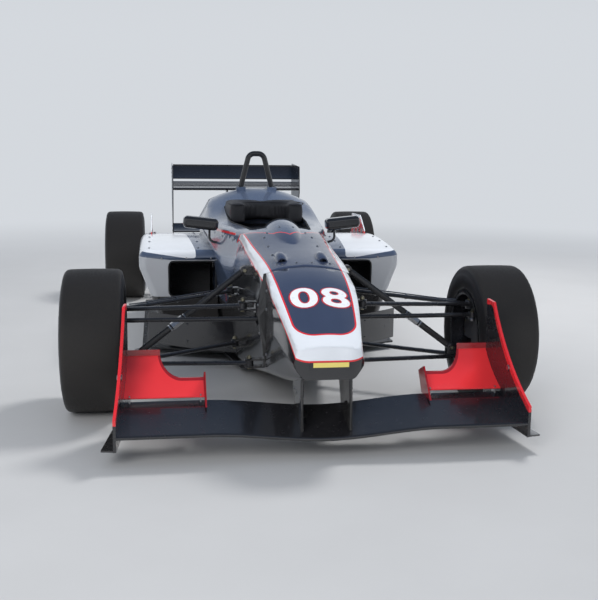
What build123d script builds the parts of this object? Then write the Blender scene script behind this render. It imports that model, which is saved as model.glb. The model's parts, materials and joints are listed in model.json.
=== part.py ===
from build123d import *

import os
from collections import namedtuple
from math import cos, pi, radians, sin

os.makedirs("parts", exist_ok=True)

# Open-wheel racing car. X is the car's left, Y runs to the rear, Z is up, in millimetres.
# The origin is on the ground, in the middle of the car's length and width.
WHEELBASE = 2700
FRONT_OVERHANG = 700
REAR_OVERHANG = 650
FRONT_TRACK = 1608
REAR_TRACK = 1547
FRONT_TYRE_DIAMETER = 560
FRONT_TYRE_WIDTH = 234
REAR_TYRE_DIAMETER = 580
REAR_TYRE_WIDTH = 253
RIM_DIAMETER = 330
FRONT_RIM_WIDTH = 218
REAR_RIM_WIDTH = 238
GROUND_CLEARANCE = 35
FLOOR_THICKNESS = 8
TUB_WALL = 25
SKIN = 6
SEAT_GAP = 0.3
MOVING_CLEARANCE = 5

FRONT_AXLE = FRONT_OVERHANG - (FRONT_OVERHANG + WHEELBASE + REAR_OVERHANG) / 2
REAR_AXLE = FRONT_AXLE + WHEELBASE
FLOOR_TOP = GROUND_CLEARANCE + FLOOR_THICKNESS
SIDES = (("left", 1), ("right", -1))


def write(builder, name):
    """Label a finished piece and write its STEP file."""
    builder.part.label = name
    export_step(builder.part, f"parts/{name}.step")


# Body: cross-sections at even steps from the nose tip to the engine bulkhead
NOSE_TIP = FRONT_AXLE - FRONT_OVERHANG
NOSE_BULKHEAD = FRONT_AXLE - 190
DASH = FRONT_AXLE + 500
ENGINE_BULKHEAD = FRONT_AXLE + 1700
SEAT_BULKHEAD = FRONT_AXLE + 1420
Section = namedtuple(
    "Section", "station half_bottom bottom half_side side half_shoulder shoulder crown corner")
NOSE_SECTIONS = (
    Section(NOSE_TIP, 84, 280, 116, 322, 104, 372, 388, 24),
    Section(FRONT_AXLE - 500, 114, 226, 146, 362, 138, 476, 494, 36),
    Section(FRONT_AXLE - 300, 136, 184, 172, 392, 158, 540, 562, 48),
    Section(FRONT_AXLE - 100, 154, 150, 196, 403, 169, 574, 600, 48),
    Section(FRONT_AXLE + 100, 170, 112, 210, 405, 176, 592, 626, 48),
    Section(FRONT_AXLE + 300, 186, 78, 226, 410, 179, 614, 656, 48),
    Section(DASH, 200, 50, 240, 420, 183, 640, 676, 48),
)
COCKPIT_SECTIONS = (
    NOSE_SECTIONS[-1],
    Section(FRONT_AXLE + 700, 218, 42, 266, 476, 222, 640, 670, 48),
    Section(FRONT_AXLE + 900, 235, 40, 292, 532, 254, 638, 666, 48),
    Section(FRONT_AXLE + 1100, 242, 40, 308, 566, 276, 640, 668, 48),
    Section(FRONT_AXLE + 1300, 244, 40, 320, 588, 288, 662, 694, 48),
    Section(FRONT_AXLE + 1500, 244, 40, 328, 604, 282, 706, 752, 48),
    Section(ENGINE_BULKHEAD, 244, 40, 330, 612, 268, 722, 790, 48),
)


def body_section(section, inset=0):
    """One closed cross-section of the body, drawn smaller by the inset."""
    half_bottom, bottom = section.half_bottom - inset, section.bottom + inset
    half_side = section.half_side - inset
    half_shoulder, shoulder = section.half_shoulder - inset, section.shoulder - inset
    with BuildSketch(Plane.XZ.offset(-section.station)) as drawn:
        with BuildLine():
            FilletPolyline(
                (-half_shoulder, shoulder), (-half_side, section.side), (-half_bottom, bottom),
                (half_bottom, bottom), (half_side, section.side), (half_shoulder, shoulder),
                radius=section.corner - inset / 2)
            ThreePointArc((half_shoulder, shoulder), (0, section.crown - inset),
                          (-half_shoulder, shoulder))
        make_face()
    return drawn.sketch


# Sidepod outline seen from the side; the body's flanks are cut clear of it
POD_FRONT = FRONT_AXLE + 900
POD_REAR = FRONT_AXLE + 2250
POD_INNER = 268
POD_OUTER = 650
POD_TOP_FRONT = 520
POD_TOP = 552
POD_TOP_STATION = FRONT_AXLE + 1400
POD_TOP_REAR = 400


def pod_side_outline(clearance):
    """Sidepod from the side, grown upwards and forwards by the clearance."""
    front = POD_FRONT - clearance
    with BuildSketch(Plane.YZ) as drawn:
        with BuildLine():
            Polyline((POD_REAR, POD_TOP_REAR + clearance), (POD_REAR, FLOOR_TOP),
                     (front, FLOOR_TOP), (front, POD_TOP_FRONT + clearance))
            Spline((front, POD_TOP_FRONT + clearance), (POD_TOP_STATION, POD_TOP + clearance),
                   (POD_REAR, POD_TOP_REAR + clearance),
                   tangents=((1, 0.14), (1, -0.34)))
        make_face()
    return drawn.sketch


def pod_space(clearance):
    """The room that both sidepods take, for cutting their neighbours."""
    with BuildPart() as space:
        extrude(pod_side_outline(clearance), amount=POD_OUTER + 2 * SEAT_GAP)
        split(bisect_by=Plane.YZ.offset(POD_INNER), keep=Keep.TOP)
        mirror(about=Plane.YZ)
    return space.part


with BuildPart() as hull:
    loft([body_section(section) for section in NOSE_SECTIONS])
    loft([body_section(section) for section in COCKPIT_SECTIONS])
    split(bisect_by=Plane.XY.offset(FLOOR_TOP), keep=Keep.TOP)
    add(pod_space(SEAT_GAP), mode=Mode.SUBTRACT)

# The same body grown by the seating gap, for trimming what is fixed to its flanks
with BuildPart() as hull_room:
    loft([body_section(section, -SEAT_GAP) for section in NOSE_SECTIONS])
    loft([body_section(section, -SEAT_GAP) for section in COCKPIT_SECTIONS])

with BuildPart() as cavity:
    loft([body_section(section, TUB_WALL) for section in NOSE_SECTIONS])
    loft([body_section(section, TUB_WALL) for section in COCKPIT_SECTIONS])
    split(bisect_by=Plane.XY.offset(FLOOR_TOP + TUB_WALL), keep=Keep.TOP)
    split(bisect_by=Plane.XZ.offset(-NOSE_BULKHEAD - TUB_WALL), keep=Keep.BOTTOM)
    split(bisect_by=Plane.XZ.offset(-SEAT_BULKHEAD), keep=Keep.TOP)


# Suspension joints: an eye on the arm, held between two ears by a pin
EYE_RADIUS = 17
EYE_HEIGHT = 22
EAR_THICKNESS = 6
PIN_RADIUS = 6
PIN_HEAD = 3
ARM_CHORD = 32
ARM_THICKNESS = 17
ROD_RADIUS = 9
ROD_CHORD = 12
ROD_WIDTH = 26


def bar(start, end, chord, thickness):
    """Streamlined bar between two points, its chord laid fore and aft."""
    start, end = Vector(*start), Vector(*end)
    run = end - start
    with BuildPart() as made:
        with BuildSketch(Plane(origin=start, x_dir=(0, 1, 0), z_dir=run)):
            Ellipse(chord / 2, thickness / 2)
        extrude(amount=run.length)
    return made.part


def disc(centre, axis, radius, height):
    """Short cylinder centred on a point."""
    with BuildPart() as made:
        with BuildSketch(Plane(origin=Vector(*centre) - Vector(*axis) * height / 2, z_dir=axis)):
            Circle(radius)
        extrude(amount=height)
    return made.part


def linkage(joints, bars):
    """Arm made of bars that end in eyes; joints are (point, pin axis)."""
    with BuildPart() as made:
        for point, axis in joints:
            add(disc(point, axis, EYE_RADIUS, EYE_HEIGHT))
        for start, end, chord, thickness in bars:
            add(bar(start, end, chord, thickness))
        for point, axis in joints:
            add(disc(point, axis, PIN_RADIUS + SEAT_GAP, 3 * EYE_HEIGHT), mode=Mode.SUBTRACT)
    return made.part


def clevis(point, axis, root, reach):
    """Two ears that hold an eye, and the pin through them."""
    point, axis = Vector(*point), Vector(*axis)
    gap = EYE_HEIGHT / 2 + SEAT_GAP
    with BuildPart() as made:
        for way in (1, -1):
            with BuildSketch(Plane(origin=point + axis * (way * gap), x_dir=root, z_dir=axis * way)):
                Circle(EYE_RADIUS)
                with Locations((reach / 2, 0)):
                    Rectangle(reach, 2 * EYE_RADIUS)
            extrude(amount=EAR_THICKNESS)
        add(disc(point, axis, PIN_RADIUS, 2 * (gap + EAR_THICKNESS + PIN_HEAD)))
    return made.part


# Front suspension points on the car's left, from the axle line and the ground
UP = (0, 0, 1)
ALONG = (0, 1, 0)
KINGPIN_X = 715
WHEEL_CENTRE_Z = FRONT_TYRE_DIAMETER / 2
FRONT_UPPER_BALL = (KINGPIN_X, FRONT_AXLE, 400)
FRONT_LOWER_BALL = (KINGPIN_X, FRONT_AXLE, 182)
FRONT_UPPER_FRONT = (236, FRONT_AXLE - 110, 428)
FRONT_UPPER_REAR = (252, FRONT_AXLE + 290, 420)
FRONT_LOWER_FRONT = (212, FRONT_AXLE - 130, 205)
FRONT_LOWER_REAR = (232, FRONT_AXLE + 300, 190)
PUSHROD_FOOT = (640, FRONT_AXLE, 222)
PUSHROD_HEAD = (212, FRONT_AXLE + 80, 540)
TIE_ROD_OUTER = (700, FRONT_AXLE - 85, 372)
TIE_ROD_INNER = (170, FRONT_AXLE - 152, 384)
INWARD = (-1, 0, 0)
EAR_REACH = 62

PICKUPS = (
    (FRONT_UPPER_FRONT, UP), (FRONT_UPPER_REAR, UP),
    (FRONT_LOWER_FRONT, UP), (FRONT_LOWER_REAR, UP), (PUSHROD_HEAD, ALONG))

# Cockpit, tub
OPENING_FRONT = FRONT_AXLE + 540
OPENING_REAR = FRONT_AXLE + 1400
OUTLINE_Z = 543
ROLL_HOOP_STATION = FRONT_AXLE + 1650
ROLL_HOOP_HALF = 88
ROLL_PAD_TOP = 798
ROLL_PAD = 52
RACK_HOLE = 24
COLUMN_RADIUS = 14
WHEEL_TILT = 22
STEERING_CENTRE = (0, FRONT_AXLE + 800, 560)


def cockpit_outline(grow):
    """Cockpit opening seen from above."""
    with BuildSketch(Plane.XY.offset(OUTLINE_Z)) as drawn:
        with BuildLine():
            FilletPolyline(
                (-196 - grow, OPENING_REAR), (-192 - grow, OPENING_REAR - 350),
                (-132 - grow, OPENING_FRONT - grow), (132 + grow, OPENING_FRONT - grow),
                (192 + grow, OPENING_REAR - 350), (196 + grow, OPENING_REAR),
                radius=(120, 60, 60, 120))
            Line((196 + grow, OPENING_REAR), (-196 - grow, OPENING_REAR))
        make_face()
    return drawn.sketch


DASH_THICKNESS = 12
DASH_SETBACK = 60
DASH_WIDTH = 600
DASH_BOTTOM = 400
DASH_TOP = 640
column_axis = (0, cos(radians(WHEEL_TILT)), sin(radians(WHEEL_TILT)))
with BuildPart() as dash:
    with BuildSketch(Plane.XZ.offset(-DASH - DASH_SETBACK)):
        with Locations((0, (DASH_BOTTOM + DASH_TOP) / 2)):
            Rectangle(DASH_WIDTH, DASH_TOP - DASH_BOTTOM)
    extrude(amount=-DASH_THICKNESS)
    add(cavity.part, mode=Mode.INTERSECT)
    with BuildSketch(Plane(origin=STEERING_CENTRE, z_dir=column_axis)):
        Circle(COLUMN_RADIUS + 0.5)
    extrude(amount=-400, mode=Mode.SUBTRACT)

# Blisters on the tub's top: a dome ahead of the cockpit and two small ones with open mouths
DOME_FRONT = FRONT_AXLE - 20
DOME_LENGTH = 600
DOME_RADIUS = 92
DOME_SINK = 50
DOME_SLOPE = 5.6
BLISTER_X = 80
BLISTER_FRONT = FRONT_AXLE - 95
BLISTER_LENGTH = 150
BLISTER_MOUTH = 20
BLISTER_RADIUS = 27
BLISTER_Z = 590
BLISTER_SLOPE = 7.6
MOUTH_HOLE = 14
MOUTH_DEPTH = 35


def blister_plane(x, front, height, slope):
    """Plane of a blister's half profile: its x runs back along the body's top."""
    return Plane(origin=(x, front, height), x_dir=(0, cos(radians(slope)), sin(radians(slope))),
                 z_dir=(1, 0, 0))


def blister(plane, mouth, radius, length, widest):
    """Half-sunk body of revolution with a blunt mouth."""
    with BuildPart() as made:
        with BuildSketch(plane):
            with BuildLine():
                Polyline((length, 0), (0, 0), (0, mouth))
                ThreePointArc((0, mouth), (widest, radius), (length, 0))
            make_face()
        revolve(axis=Axis(plane.origin, plane.x_dir))
    return made.part


with BuildPart() as dome:
    dome_plane = blister_plane(0, DOME_FRONT, NOSE_SECTIONS[4].crown - DOME_SINK - 17, DOME_SLOPE)
    with BuildSketch(dome_plane):
        with BuildLine():
            ThreePointArc((0, 0), (DOME_LENGTH / 2, 0.86 * DOME_RADIUS), (DOME_LENGTH, DOME_RADIUS))
            Polyline((DOME_LENGTH, DOME_RADIUS), (DOME_LENGTH, 0), (0, 0))
        make_face()
    revolve(axis=Axis(dome_plane.origin, dome_plane.x_dir))

with BuildPart() as tub:
    add(hull.part)
    split(bisect_by=Plane.XZ.offset(-NOSE_BULKHEAD), keep=Keep.BOTTOM)
    add(dome.part)
    for way in (1, -1):
        mouth_plane = blister_plane(way * BLISTER_X, BLISTER_FRONT, BLISTER_Z, BLISTER_SLOPE)
        add(blister(mouth_plane, BLISTER_MOUTH, BLISTER_RADIUS, BLISTER_LENGTH, BLISTER_LENGTH / 3))
        with BuildSketch(Plane(origin=mouth_plane.origin, z_dir=mouth_plane.x_dir)):
            Circle(MOUTH_HOLE)
        extrude(amount=MOUTH_DEPTH, mode=Mode.SUBTRACT)
    for point, axis in PICKUPS:
        add(clevis(point, axis, INWARD, EAR_REACH))
        add(clevis(point, axis, INWARD, EAR_REACH).mirror(Plane.YZ))
    for way in (1, -1):
        with Locations((way * ROLL_HOOP_HALF, ROLL_HOOP_STATION, ROLL_PAD_TOP - ROLL_PAD)):
            Box(ROLL_PAD, ROLL_PAD, ROLL_PAD, align=(Align.CENTER, Align.CENTER, Align.MIN))
    add(cavity.part, mode=Mode.SUBTRACT)
    extrude(cockpit_outline(0), amount=400, mode=Mode.SUBTRACT)
    add(dash.part)
    with BuildSketch(Plane.YZ.offset(-KINGPIN_X)):
        with Locations((TIE_ROD_INNER[1] - 4, TIE_ROD_INNER[2])):
            SlotCenterToCenter(12, 2 * RACK_HOLE)
    extrude(amount=2 * KINGPIN_X, mode=Mode.SUBTRACT)
write(tub, "tub")

# Nose cone with the two pylons that carry the front wing
WING_FRONT = NOSE_TIP
WING_CHORD = 240
WING_THICKNESS = 22
WING_RISE = 52
WING_LEADING_Z = 102
WING_CAMBER = 8
WING_SPOON = 28
SPOON_HALF = 400
SPOON_STEPS = 4
ENDPLATE_X = 708
ENDPLATE_LENGTH = 372
ENDPLATE_TOE = 4.6
ENDPLATE_THICKNESS = 10
PYLON_X = 84
PYLON_THICKNESS = 9
NOSE_PLAN_WIDTH = 310
NOSE_TIP_ROUNDING = 90


def wing_section(x, leading, trailing, thickness, camber):
    """Wing cross-section: round nose, blunt tail, both skins as arcs."""
    nose = thickness / 3
    tail = 1.5
    lead, trail = Vector(*leading), Vector(*trailing)
    middle = (lead + trail) / 2
    with BuildSketch(Plane.YZ.offset(x)) as drawn:
        with BuildLine():
            ThreePointArc((lead.X, lead.Y - nose), (lead.X - nose, lead.Y), (lead.X, lead.Y + nose))
            ThreePointArc((lead.X, lead.Y + nose),
                          (middle.X, middle.Y + thickness / 2 - camber),
                          (trail.X, trail.Y + tail))
            Line((trail.X, trail.Y + tail), (trail.X, trail.Y - tail))
            ThreePointArc((trail.X, trail.Y - tail),
                          (middle.X, middle.Y - thickness / 2 - camber),
                          (lead.X, lead.Y - nose))
        make_face()
    return drawn.sketch


def endplate_plane(side):
    """Outer face of a front endplate, toed in; its x runs rearwards."""
    toe = radians(ENDPLATE_TOE)
    return Plane(origin=(side * ENDPLATE_X, WING_FRONT, 0),
                 x_dir=(-side * sin(toe), cos(toe), 0), z_dir=(side * cos(toe), sin(toe), 0))


def main_plane(extra):
    """Front wing across the car, its skins grown by the extra."""
    nose = (WING_THICKNESS + 2 * extra) / 3

    def at(x, drop):
        return wing_section(x, (WING_FRONT + nose, WING_LEADING_Z - drop),
                            (WING_FRONT + WING_CHORD, WING_LEADING_Z + WING_RISE - drop),
                            WING_THICKNESS + 2 * extra, WING_CAMBER)
    steps = range(-SPOON_STEPS, SPOON_STEPS + 1)
    with BuildPart() as made:
        loft([at(step * SPOON_HALF / SPOON_STEPS, WING_SPOON * (1 + cos(pi * step / SPOON_STEPS)) / 2)
              for step in steps])
        for way in (1, -1):
            loft([at(way * SPOON_HALF, 0), at(way * (ENDPLATE_X + 20), 0)], ruled=True)
            split(bisect_by=endplate_plane(way).offset(-ENDPLATE_THICKNESS), keep=Keep.BOTTOM)
    return made.part


with BuildPart() as front_wing:
    add(main_plane(0))
write(front_wing, "front_wing")

with BuildPart() as nose_cone:
    add(hull.part)
    split(bisect_by=Plane.XZ.offset(-NOSE_BULKHEAD), keep=Keep.TOP)
    with BuildSketch(Plane.XY) as plan:
        with Locations((0, NOSE_TIP)):
            Rectangle(NOSE_PLAN_WIDTH, WING_CHORD + 500, align=(Align.CENTER, Align.MIN))
        fillet(plan.vertices().group_by(Axis.Y)[0], NOSE_TIP_ROUNDING)
    extrude(amount=1000, mode=Mode.INTERSECT)
    with BuildSketch(Plane.YZ.offset(PYLON_X - PYLON_THICKNESS / 2)):
        with BuildLine():
            Polyline((WING_FRONT + 40, 86), (WING_FRONT + 60, 330), (WING_FRONT + 300, 330),
                     (WING_FRONT + 190, 112), close=True)
        make_face()
    extrude(amount=PYLON_THICKNESS)
    mirror(about=Plane.YZ)
    add(main_plane(SEAT_GAP), mode=Mode.SUBTRACT)
write(nose_cone, "nose_cone")

# Front wing flaps: full height outboard, cut down in an arc inboard, a fin at the inner end
FLAP_INNER = 402
FLAP_FRONT = WING_FRONT + 226
FLAP_FRONT_Z = 172
FLAP_RUN = 140
FLAP_REAR_Z = 290
FLAP_LIP = 22
FLAP_LIP_THICKNESS = 4
FLAP_STEP_X = 554
FLAP_STEP_RADIUS = 78
FLAP_LOW_Z = 222
FLAP_THICKNESS = 9
FLAP_CAMBER = 16
FLAP_END = ENDPLATE_X + 12
FIN_THICKNESS = 6
with BuildPart() as front_wing_flaps:
    loft([wing_section(x, (FLAP_FRONT, FLAP_FRONT_Z), (FLAP_FRONT + FLAP_RUN, FLAP_REAR_Z),
                       FLAP_THICKNESS, FLAP_CAMBER)
          for x in (FLAP_INNER, FLAP_END)], ruled=True)
    with BuildSketch(Plane.XZ.offset(-FLAP_FRONT + 50)):
        with BuildLine():
            Polyline((FLAP_STEP_X - FLAP_STEP_RADIUS, FLAP_LOW_Z), (0, FLAP_LOW_Z),
                     (0, 2 * FLAP_REAR_Z), (FLAP_STEP_X, 2 * FLAP_REAR_Z),
                     (FLAP_STEP_X, FLAP_LOW_Z + FLAP_STEP_RADIUS))
            RadiusArc((FLAP_STEP_X, FLAP_LOW_Z + FLAP_STEP_RADIUS),
                      (FLAP_STEP_X - FLAP_STEP_RADIUS, FLAP_LOW_Z), FLAP_STEP_RADIUS)
        make_face()
    extrude(amount=-FLAP_RUN - 100, mode=Mode.SUBTRACT)
    with BuildSketch(Plane.YZ.offset(FLAP_STEP_X)):
        with Locations((FLAP_FRONT + FLAP_RUN - FLAP_LIP_THICKNESS / 2, FLAP_REAR_Z)):
            Rectangle(FLAP_LIP_THICKNESS, FLAP_LIP, align=(Align.CENTER, Align.MIN))
    extrude(amount=FLAP_END - FLAP_STEP_X)
    split(bisect_by=endplate_plane(1).offset(-ENDPLATE_THICKNESS), keep=Keep.BOTTOM)
    with BuildSketch(Plane.YZ.offset(FLAP_INNER - FIN_THICKNESS)):
        with BuildLine():
            Polyline((FLAP_FRONT - 60, 150), (FLAP_FRONT + 36, 252), (FLAP_FRONT + 100, 222),
                     (FLAP_FRONT + 50, 150), close=True)
        make_face()
    extrude(amount=FIN_THICKNESS)
    mirror(about=Plane.YZ)
    add(main_plane(SEAT_GAP), mode=Mode.SUBTRACT)
write(front_wing_flaps, "front_wing_flaps")

FOOT_HEIGHT = 56
FOOT_THICKNESS = 6
FOOT_WIDTH_FRONT = 40
FOOT_WIDTH_REAR = 24
FOOT_LAP = 5
with BuildPart() as front_wing_endplates:
    with BuildSketch(endplate_plane(1)):
        with BuildLine():
            ThreePointArc((0, 165), (178, 296), (318, 476))
            Polyline((318, 476), (ENDPLATE_LENGTH, 480), (ENDPLATE_LENGTH, FOOT_HEIGHT),
                     (0, FOOT_HEIGHT), (0, 165))
        make_face()
    extrude(amount=-ENDPLATE_THICKNESS)
    with BuildSketch(Plane.XY.offset(FOOT_HEIGHT)):
        with BuildLine():
            toe_shift = ENDPLATE_LENGTH * sin(radians(ENDPLATE_TOE))
            rear_y = WING_FRONT + ENDPLATE_LENGTH * cos(radians(ENDPLATE_TOE))
            Polyline((ENDPLATE_X - FOOT_LAP, WING_FRONT + 1),
                     (ENDPLATE_X + FOOT_WIDTH_FRONT, WING_FRONT + 2 * FOOT_LAP),
                     (ENDPLATE_X - toe_shift + FOOT_WIDTH_REAR, rear_y),
                     (ENDPLATE_X - toe_shift - FOOT_LAP, rear_y), close=True)
        make_face()
    extrude(amount=FOOT_THICKNESS)
    mirror(about=Plane.YZ)
write(front_wing_endplates, "front_wing_endplates")

# Front suspension arms
LUG_HEIGHT = 34
with BuildPart() as front_upper_wishbones:
    add(linkage(
        [(FRONT_UPPER_BALL, UP), (FRONT_UPPER_FRONT, UP), (FRONT_UPPER_REAR, UP)],
        [(FRONT_UPPER_BALL, FRONT_UPPER_FRONT, ARM_CHORD, ARM_THICKNESS),
         (FRONT_UPPER_BALL, FRONT_UPPER_REAR, ARM_CHORD, ARM_THICKNESS)]))
    mirror(about=Plane.YZ)
write(front_upper_wishbones, "front_upper_wishbones")

with BuildPart() as front_lower_wishbones:
    add(linkage(
        [(FRONT_LOWER_BALL, UP), (FRONT_LOWER_FRONT, UP), (FRONT_LOWER_REAR, UP)],
        [(FRONT_LOWER_BALL, FRONT_LOWER_FRONT, ARM_CHORD, ARM_THICKNESS),
         (FRONT_LOWER_BALL, FRONT_LOWER_REAR, ARM_CHORD, ARM_THICKNESS)]))
    add(clevis(PUSHROD_FOOT, ALONG, (0, 0, -1), LUG_HEIGHT))
    mirror(about=Plane.YZ)
write(front_lower_wishbones, "front_lower_wishbones")

with BuildPart() as front_pushrods:
    add(linkage([(PUSHROD_FOOT, ALONG), (PUSHROD_HEAD, ALONG)],
                [(PUSHROD_FOOT, PUSHROD_HEAD, ROD_CHORD, ROD_WIDTH)]))
    mirror(about=Plane.YZ)
write(front_pushrods, "front_pushrods")

# Wheels, drawn from the wheel's centre: outboard along x, radius along y
RUNNING_GAP = 0.08
SPINDLE_RADIUS = 20
TYRE_SHOULDER = 24
TREAD_CROWN = 2
WALL_BULGE = 0.45
BEAD_SEAT = RIM_DIAMETER / 2
RIM_LIP = 12
RIM_LIP_THICKNESS = 6
BARREL_THICKNESS = 5
DISC_RADIUS = 125
DISC_THICKNESS = 14
DISC_OFFSET = -29
HUB_RADIUS = 44
HUB_OUTER = 62
HUB_CAP = 10
FACE_THICKNESS = 14
FACE_RECESS = 26
SPOKE_COUNT = 8
WINDOW_RADIUS = 105
WINDOW_LENGTH = 78
WINDOW_WIDTH = 40
NUT_RADIUS = 26
NUT_HEIGHT = 16


def wheel_plane(side, track, axle, diameter):
    """Plane through a wheel's centre: x outboard, y up."""
    return Plane(origin=(side * track / 2, axle, diameter / 2),
                 x_dir=(side, 0, 0), z_dir=(0, -side, 0))


def wheel_axis(plane):
    return Axis(plane.origin, plane.x_dir)


def tyre_profile(plane, diameter, width, rim_width):
    """Half of a slick tyre's section, from bead to bead."""
    half = width / 2
    outer = diameter / 2
    bead = rim_width / 2 - RIM_LIP_THICKNESS - SEAT_GAP
    inner = BEAD_SEAT + SEAT_GAP
    bulge = inner + WALL_BULGE * (outer - inner)
    wall_top = half - TYRE_SHOULDER / 4
    tread_edge = half - TYRE_SHOULDER - 4
    with BuildSketch(plane) as drawn:
        with BuildLine():
            for way in (1, -1):
                ThreePointArc((way * bead, inner + RIM_LIP), (way * half, bulge),
                              (way * wall_top, outer - TYRE_SHOULDER - 4))
                ThreePointArc((way * wall_top, outer - TYRE_SHOULDER - 4),
                              (way * (half - TYRE_SHOULDER / 2), outer - 9),
                              (way * tread_edge, outer - TREAD_CROWN))
                Line((way * bead, inner), (way * bead, inner + RIM_LIP))
            ThreePointArc((tread_edge, outer - TREAD_CROWN), (0, outer), (-tread_edge, outer - TREAD_CROWN))
            Line((bead, inner), (-bead, inner))
        make_face()
    return drawn.sketch


def rim_body(plane, rim_width, bore):
    """Barrel, spoked disc and hub, with the brake disc on the hub."""
    half = rim_width / 2
    axis = wheel_axis(plane)
    with BuildPart() as made:
        with BuildSketch(plane):
            with BuildLine():
                Polyline((-half, BEAD_SEAT - BARREL_THICKNESS), (half, BEAD_SEAT - BARREL_THICKNESS),
                         (half, BEAD_SEAT + RIM_LIP), (half - RIM_LIP_THICKNESS, BEAD_SEAT + RIM_LIP),
                         (half - RIM_LIP_THICKNESS, BEAD_SEAT), (-half + RIM_LIP_THICKNESS, BEAD_SEAT),
                         (-half + RIM_LIP_THICKNESS, BEAD_SEAT + RIM_LIP), (-half, BEAD_SEAT + RIM_LIP),
                         close=True)
            make_face()
        revolve(axis=axis)
        with BuildSketch(plane):
            with BuildLine():
                Polyline((HUB_OUTER - FACE_THICKNESS, 0), (HUB_OUTER - FACE_THICKNESS, HUB_RADIUS),
                         (half - FACE_RECESS - FACE_THICKNESS - 4, BEAD_SEAT - 2),
                         (half - FACE_RECESS, BEAD_SEAT - 2), (HUB_OUTER, HUB_RADIUS), (HUB_OUTER, 0),
                         close=True)
            make_face()
        revolve(axis=axis)
        face = Plane(origin=plane.origin, x_dir=plane.z_dir, z_dir=plane.x_dir)
        with BuildSketch(face.offset(HUB_OUTER - 60)):
            with PolarLocations(WINDOW_RADIUS, SPOKE_COUNT):
                SlotOverall(WINDOW_LENGTH, WINDOW_WIDTH)
        extrude(amount=120, mode=Mode.SUBTRACT)
        with BuildSketch(face.offset(DISC_OFFSET - DISC_THICKNESS / 2)):
            Circle(HUB_RADIUS)
        extrude(amount=HUB_OUTER + HUB_CAP - (DISC_OFFSET - DISC_THICKNESS / 2))
        with BuildSketch(face.offset(DISC_OFFSET - DISC_THICKNESS / 2)):
            Circle(DISC_RADIUS)
        extrude(amount=DISC_THICKNESS)
        with BuildSketch(face.offset(HUB_OUTER + HUB_CAP)):
            RegularPolygon(NUT_RADIUS, 6)
        extrude(amount=NUT_HEIGHT)
        with BuildSketch(face.offset(-half)):
            Circle(bore)
        extrude(amount=half + HUB_OUTER, mode=Mode.SUBTRACT)
    return made.part


WHEELS = (
    ("front_left", 1, FRONT_TRACK, FRONT_AXLE, FRONT_TYRE_DIAMETER, FRONT_TYRE_WIDTH, FRONT_RIM_WIDTH),
    ("front_right", -1, FRONT_TRACK, FRONT_AXLE, FRONT_TYRE_DIAMETER, FRONT_TYRE_WIDTH, FRONT_RIM_WIDTH),
    ("rear_left", 1, REAR_TRACK, REAR_AXLE, REAR_TYRE_DIAMETER, REAR_TYRE_WIDTH, REAR_RIM_WIDTH),
    ("rear_right", -1, REAR_TRACK, REAR_AXLE, REAR_TYRE_DIAMETER, REAR_TYRE_WIDTH, REAR_RIM_WIDTH),
)
for corner, side, track, axle, diameter, width, rim_width in WHEELS:
    plane = wheel_plane(side, track, axle, diameter)
    with BuildPart() as tyre:
        revolve(tyre_profile(plane, diameter, width, rim_width), axis=wheel_axis(plane))
    write(tyre, f"tyre_{corner}")
    with BuildPart() as rim:
        add(rim_body(plane, rim_width, SPINDLE_RADIUS + RUNNING_GAP))
    write(rim, f"rim_{corner}")

# Uprights: plate, spindle, ears for the ball joints, brake caliper
UPRIGHT_OFFSET = -59
UPRIGHT_THICKNESS = 18
CALIPER_HALF = 26
CALIPER_INNER = 92
CALIPER_OUTER = 148
CALIPER_HEIGHT = 84
UPRIGHT_TIP = 19
UPRIGHT_WAIST = 46
PLATE_MARGIN = 18
BRACKET_STATION = 70
BRACKET_LENGTH = 80
BRACKET_THICKNESS = 10
ARM_PLATE = 12


def caliper(plane):
    """Brake caliper over the disc, behind the axle."""
    with BuildPart() as made:
        with BuildSketch(Plane(origin=plane.origin + plane.x_dir * (DISC_OFFSET - CALIPER_HALF),
                               x_dir=(0, 1, 0), z_dir=plane.x_dir)):
            Circle(CALIPER_OUTER)
            Circle(CALIPER_INNER, mode=Mode.SUBTRACT)
            with Locations(((CALIPER_INNER + CALIPER_OUTER) / 2, 0)):
                Rectangle(2 * CALIPER_INNER, CALIPER_HEIGHT, mode=Mode.INTERSECT)
        extrude(amount=2 * CALIPER_HALF)
        slot = DISC_THICKNESS + 2 * MOVING_CLEARANCE
        with BuildSketch(Plane(origin=plane.origin + plane.x_dir * (DISC_OFFSET - slot / 2),
                               x_dir=(0, 1, 0), z_dir=plane.x_dir)):
            Circle(DISC_RADIUS + MOVING_CLEARANCE)
        extrude(amount=slot, mode=Mode.SUBTRACT)
    return made.part


def upright_plate(plane, top, bottom):
    """Web of an upright in the wheel's plane, waisted towards both ball joints."""
    with BuildPart() as made:
        with BuildSketch(Plane(origin=plane.origin + plane.x_dir * UPRIGHT_OFFSET,
                               x_dir=(0, 1, 0), z_dir=plane.x_dir)):
            with BuildLine():
                side = -1 if plane.x_dir.X < 0 else 1
                Polyline(*((along, side * up) for along, up in (
                    (-UPRIGHT_TIP, top), (UPRIGHT_TIP, top), (UPRIGHT_WAIST, 40), (UPRIGHT_WAIST, -40),
                    (UPRIGHT_TIP, bottom), (-UPRIGHT_TIP, bottom), (-UPRIGHT_WAIST, -40),
                    (-UPRIGHT_WAIST, 40))), close=True)
            make_face()
        extrude(amount=UPRIGHT_THICKNESS)
    return made.part


def caliper_bracket(side, x, axle, height):
    """Web that ties the caliper to the upright."""
    with BuildPart() as made:
        with BuildSketch(Plane.XY.offset(height - CALIPER_HEIGHT / 2 + 4)):
            with Locations((side * (x + UPRIGHT_OFFSET + 7), axle + BRACKET_STATION)):
                Rectangle(BRACKET_THICKNESS, BRACKET_LENGTH)
        extrude(amount=CALIPER_HEIGHT - 8)
    return made.part


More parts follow.
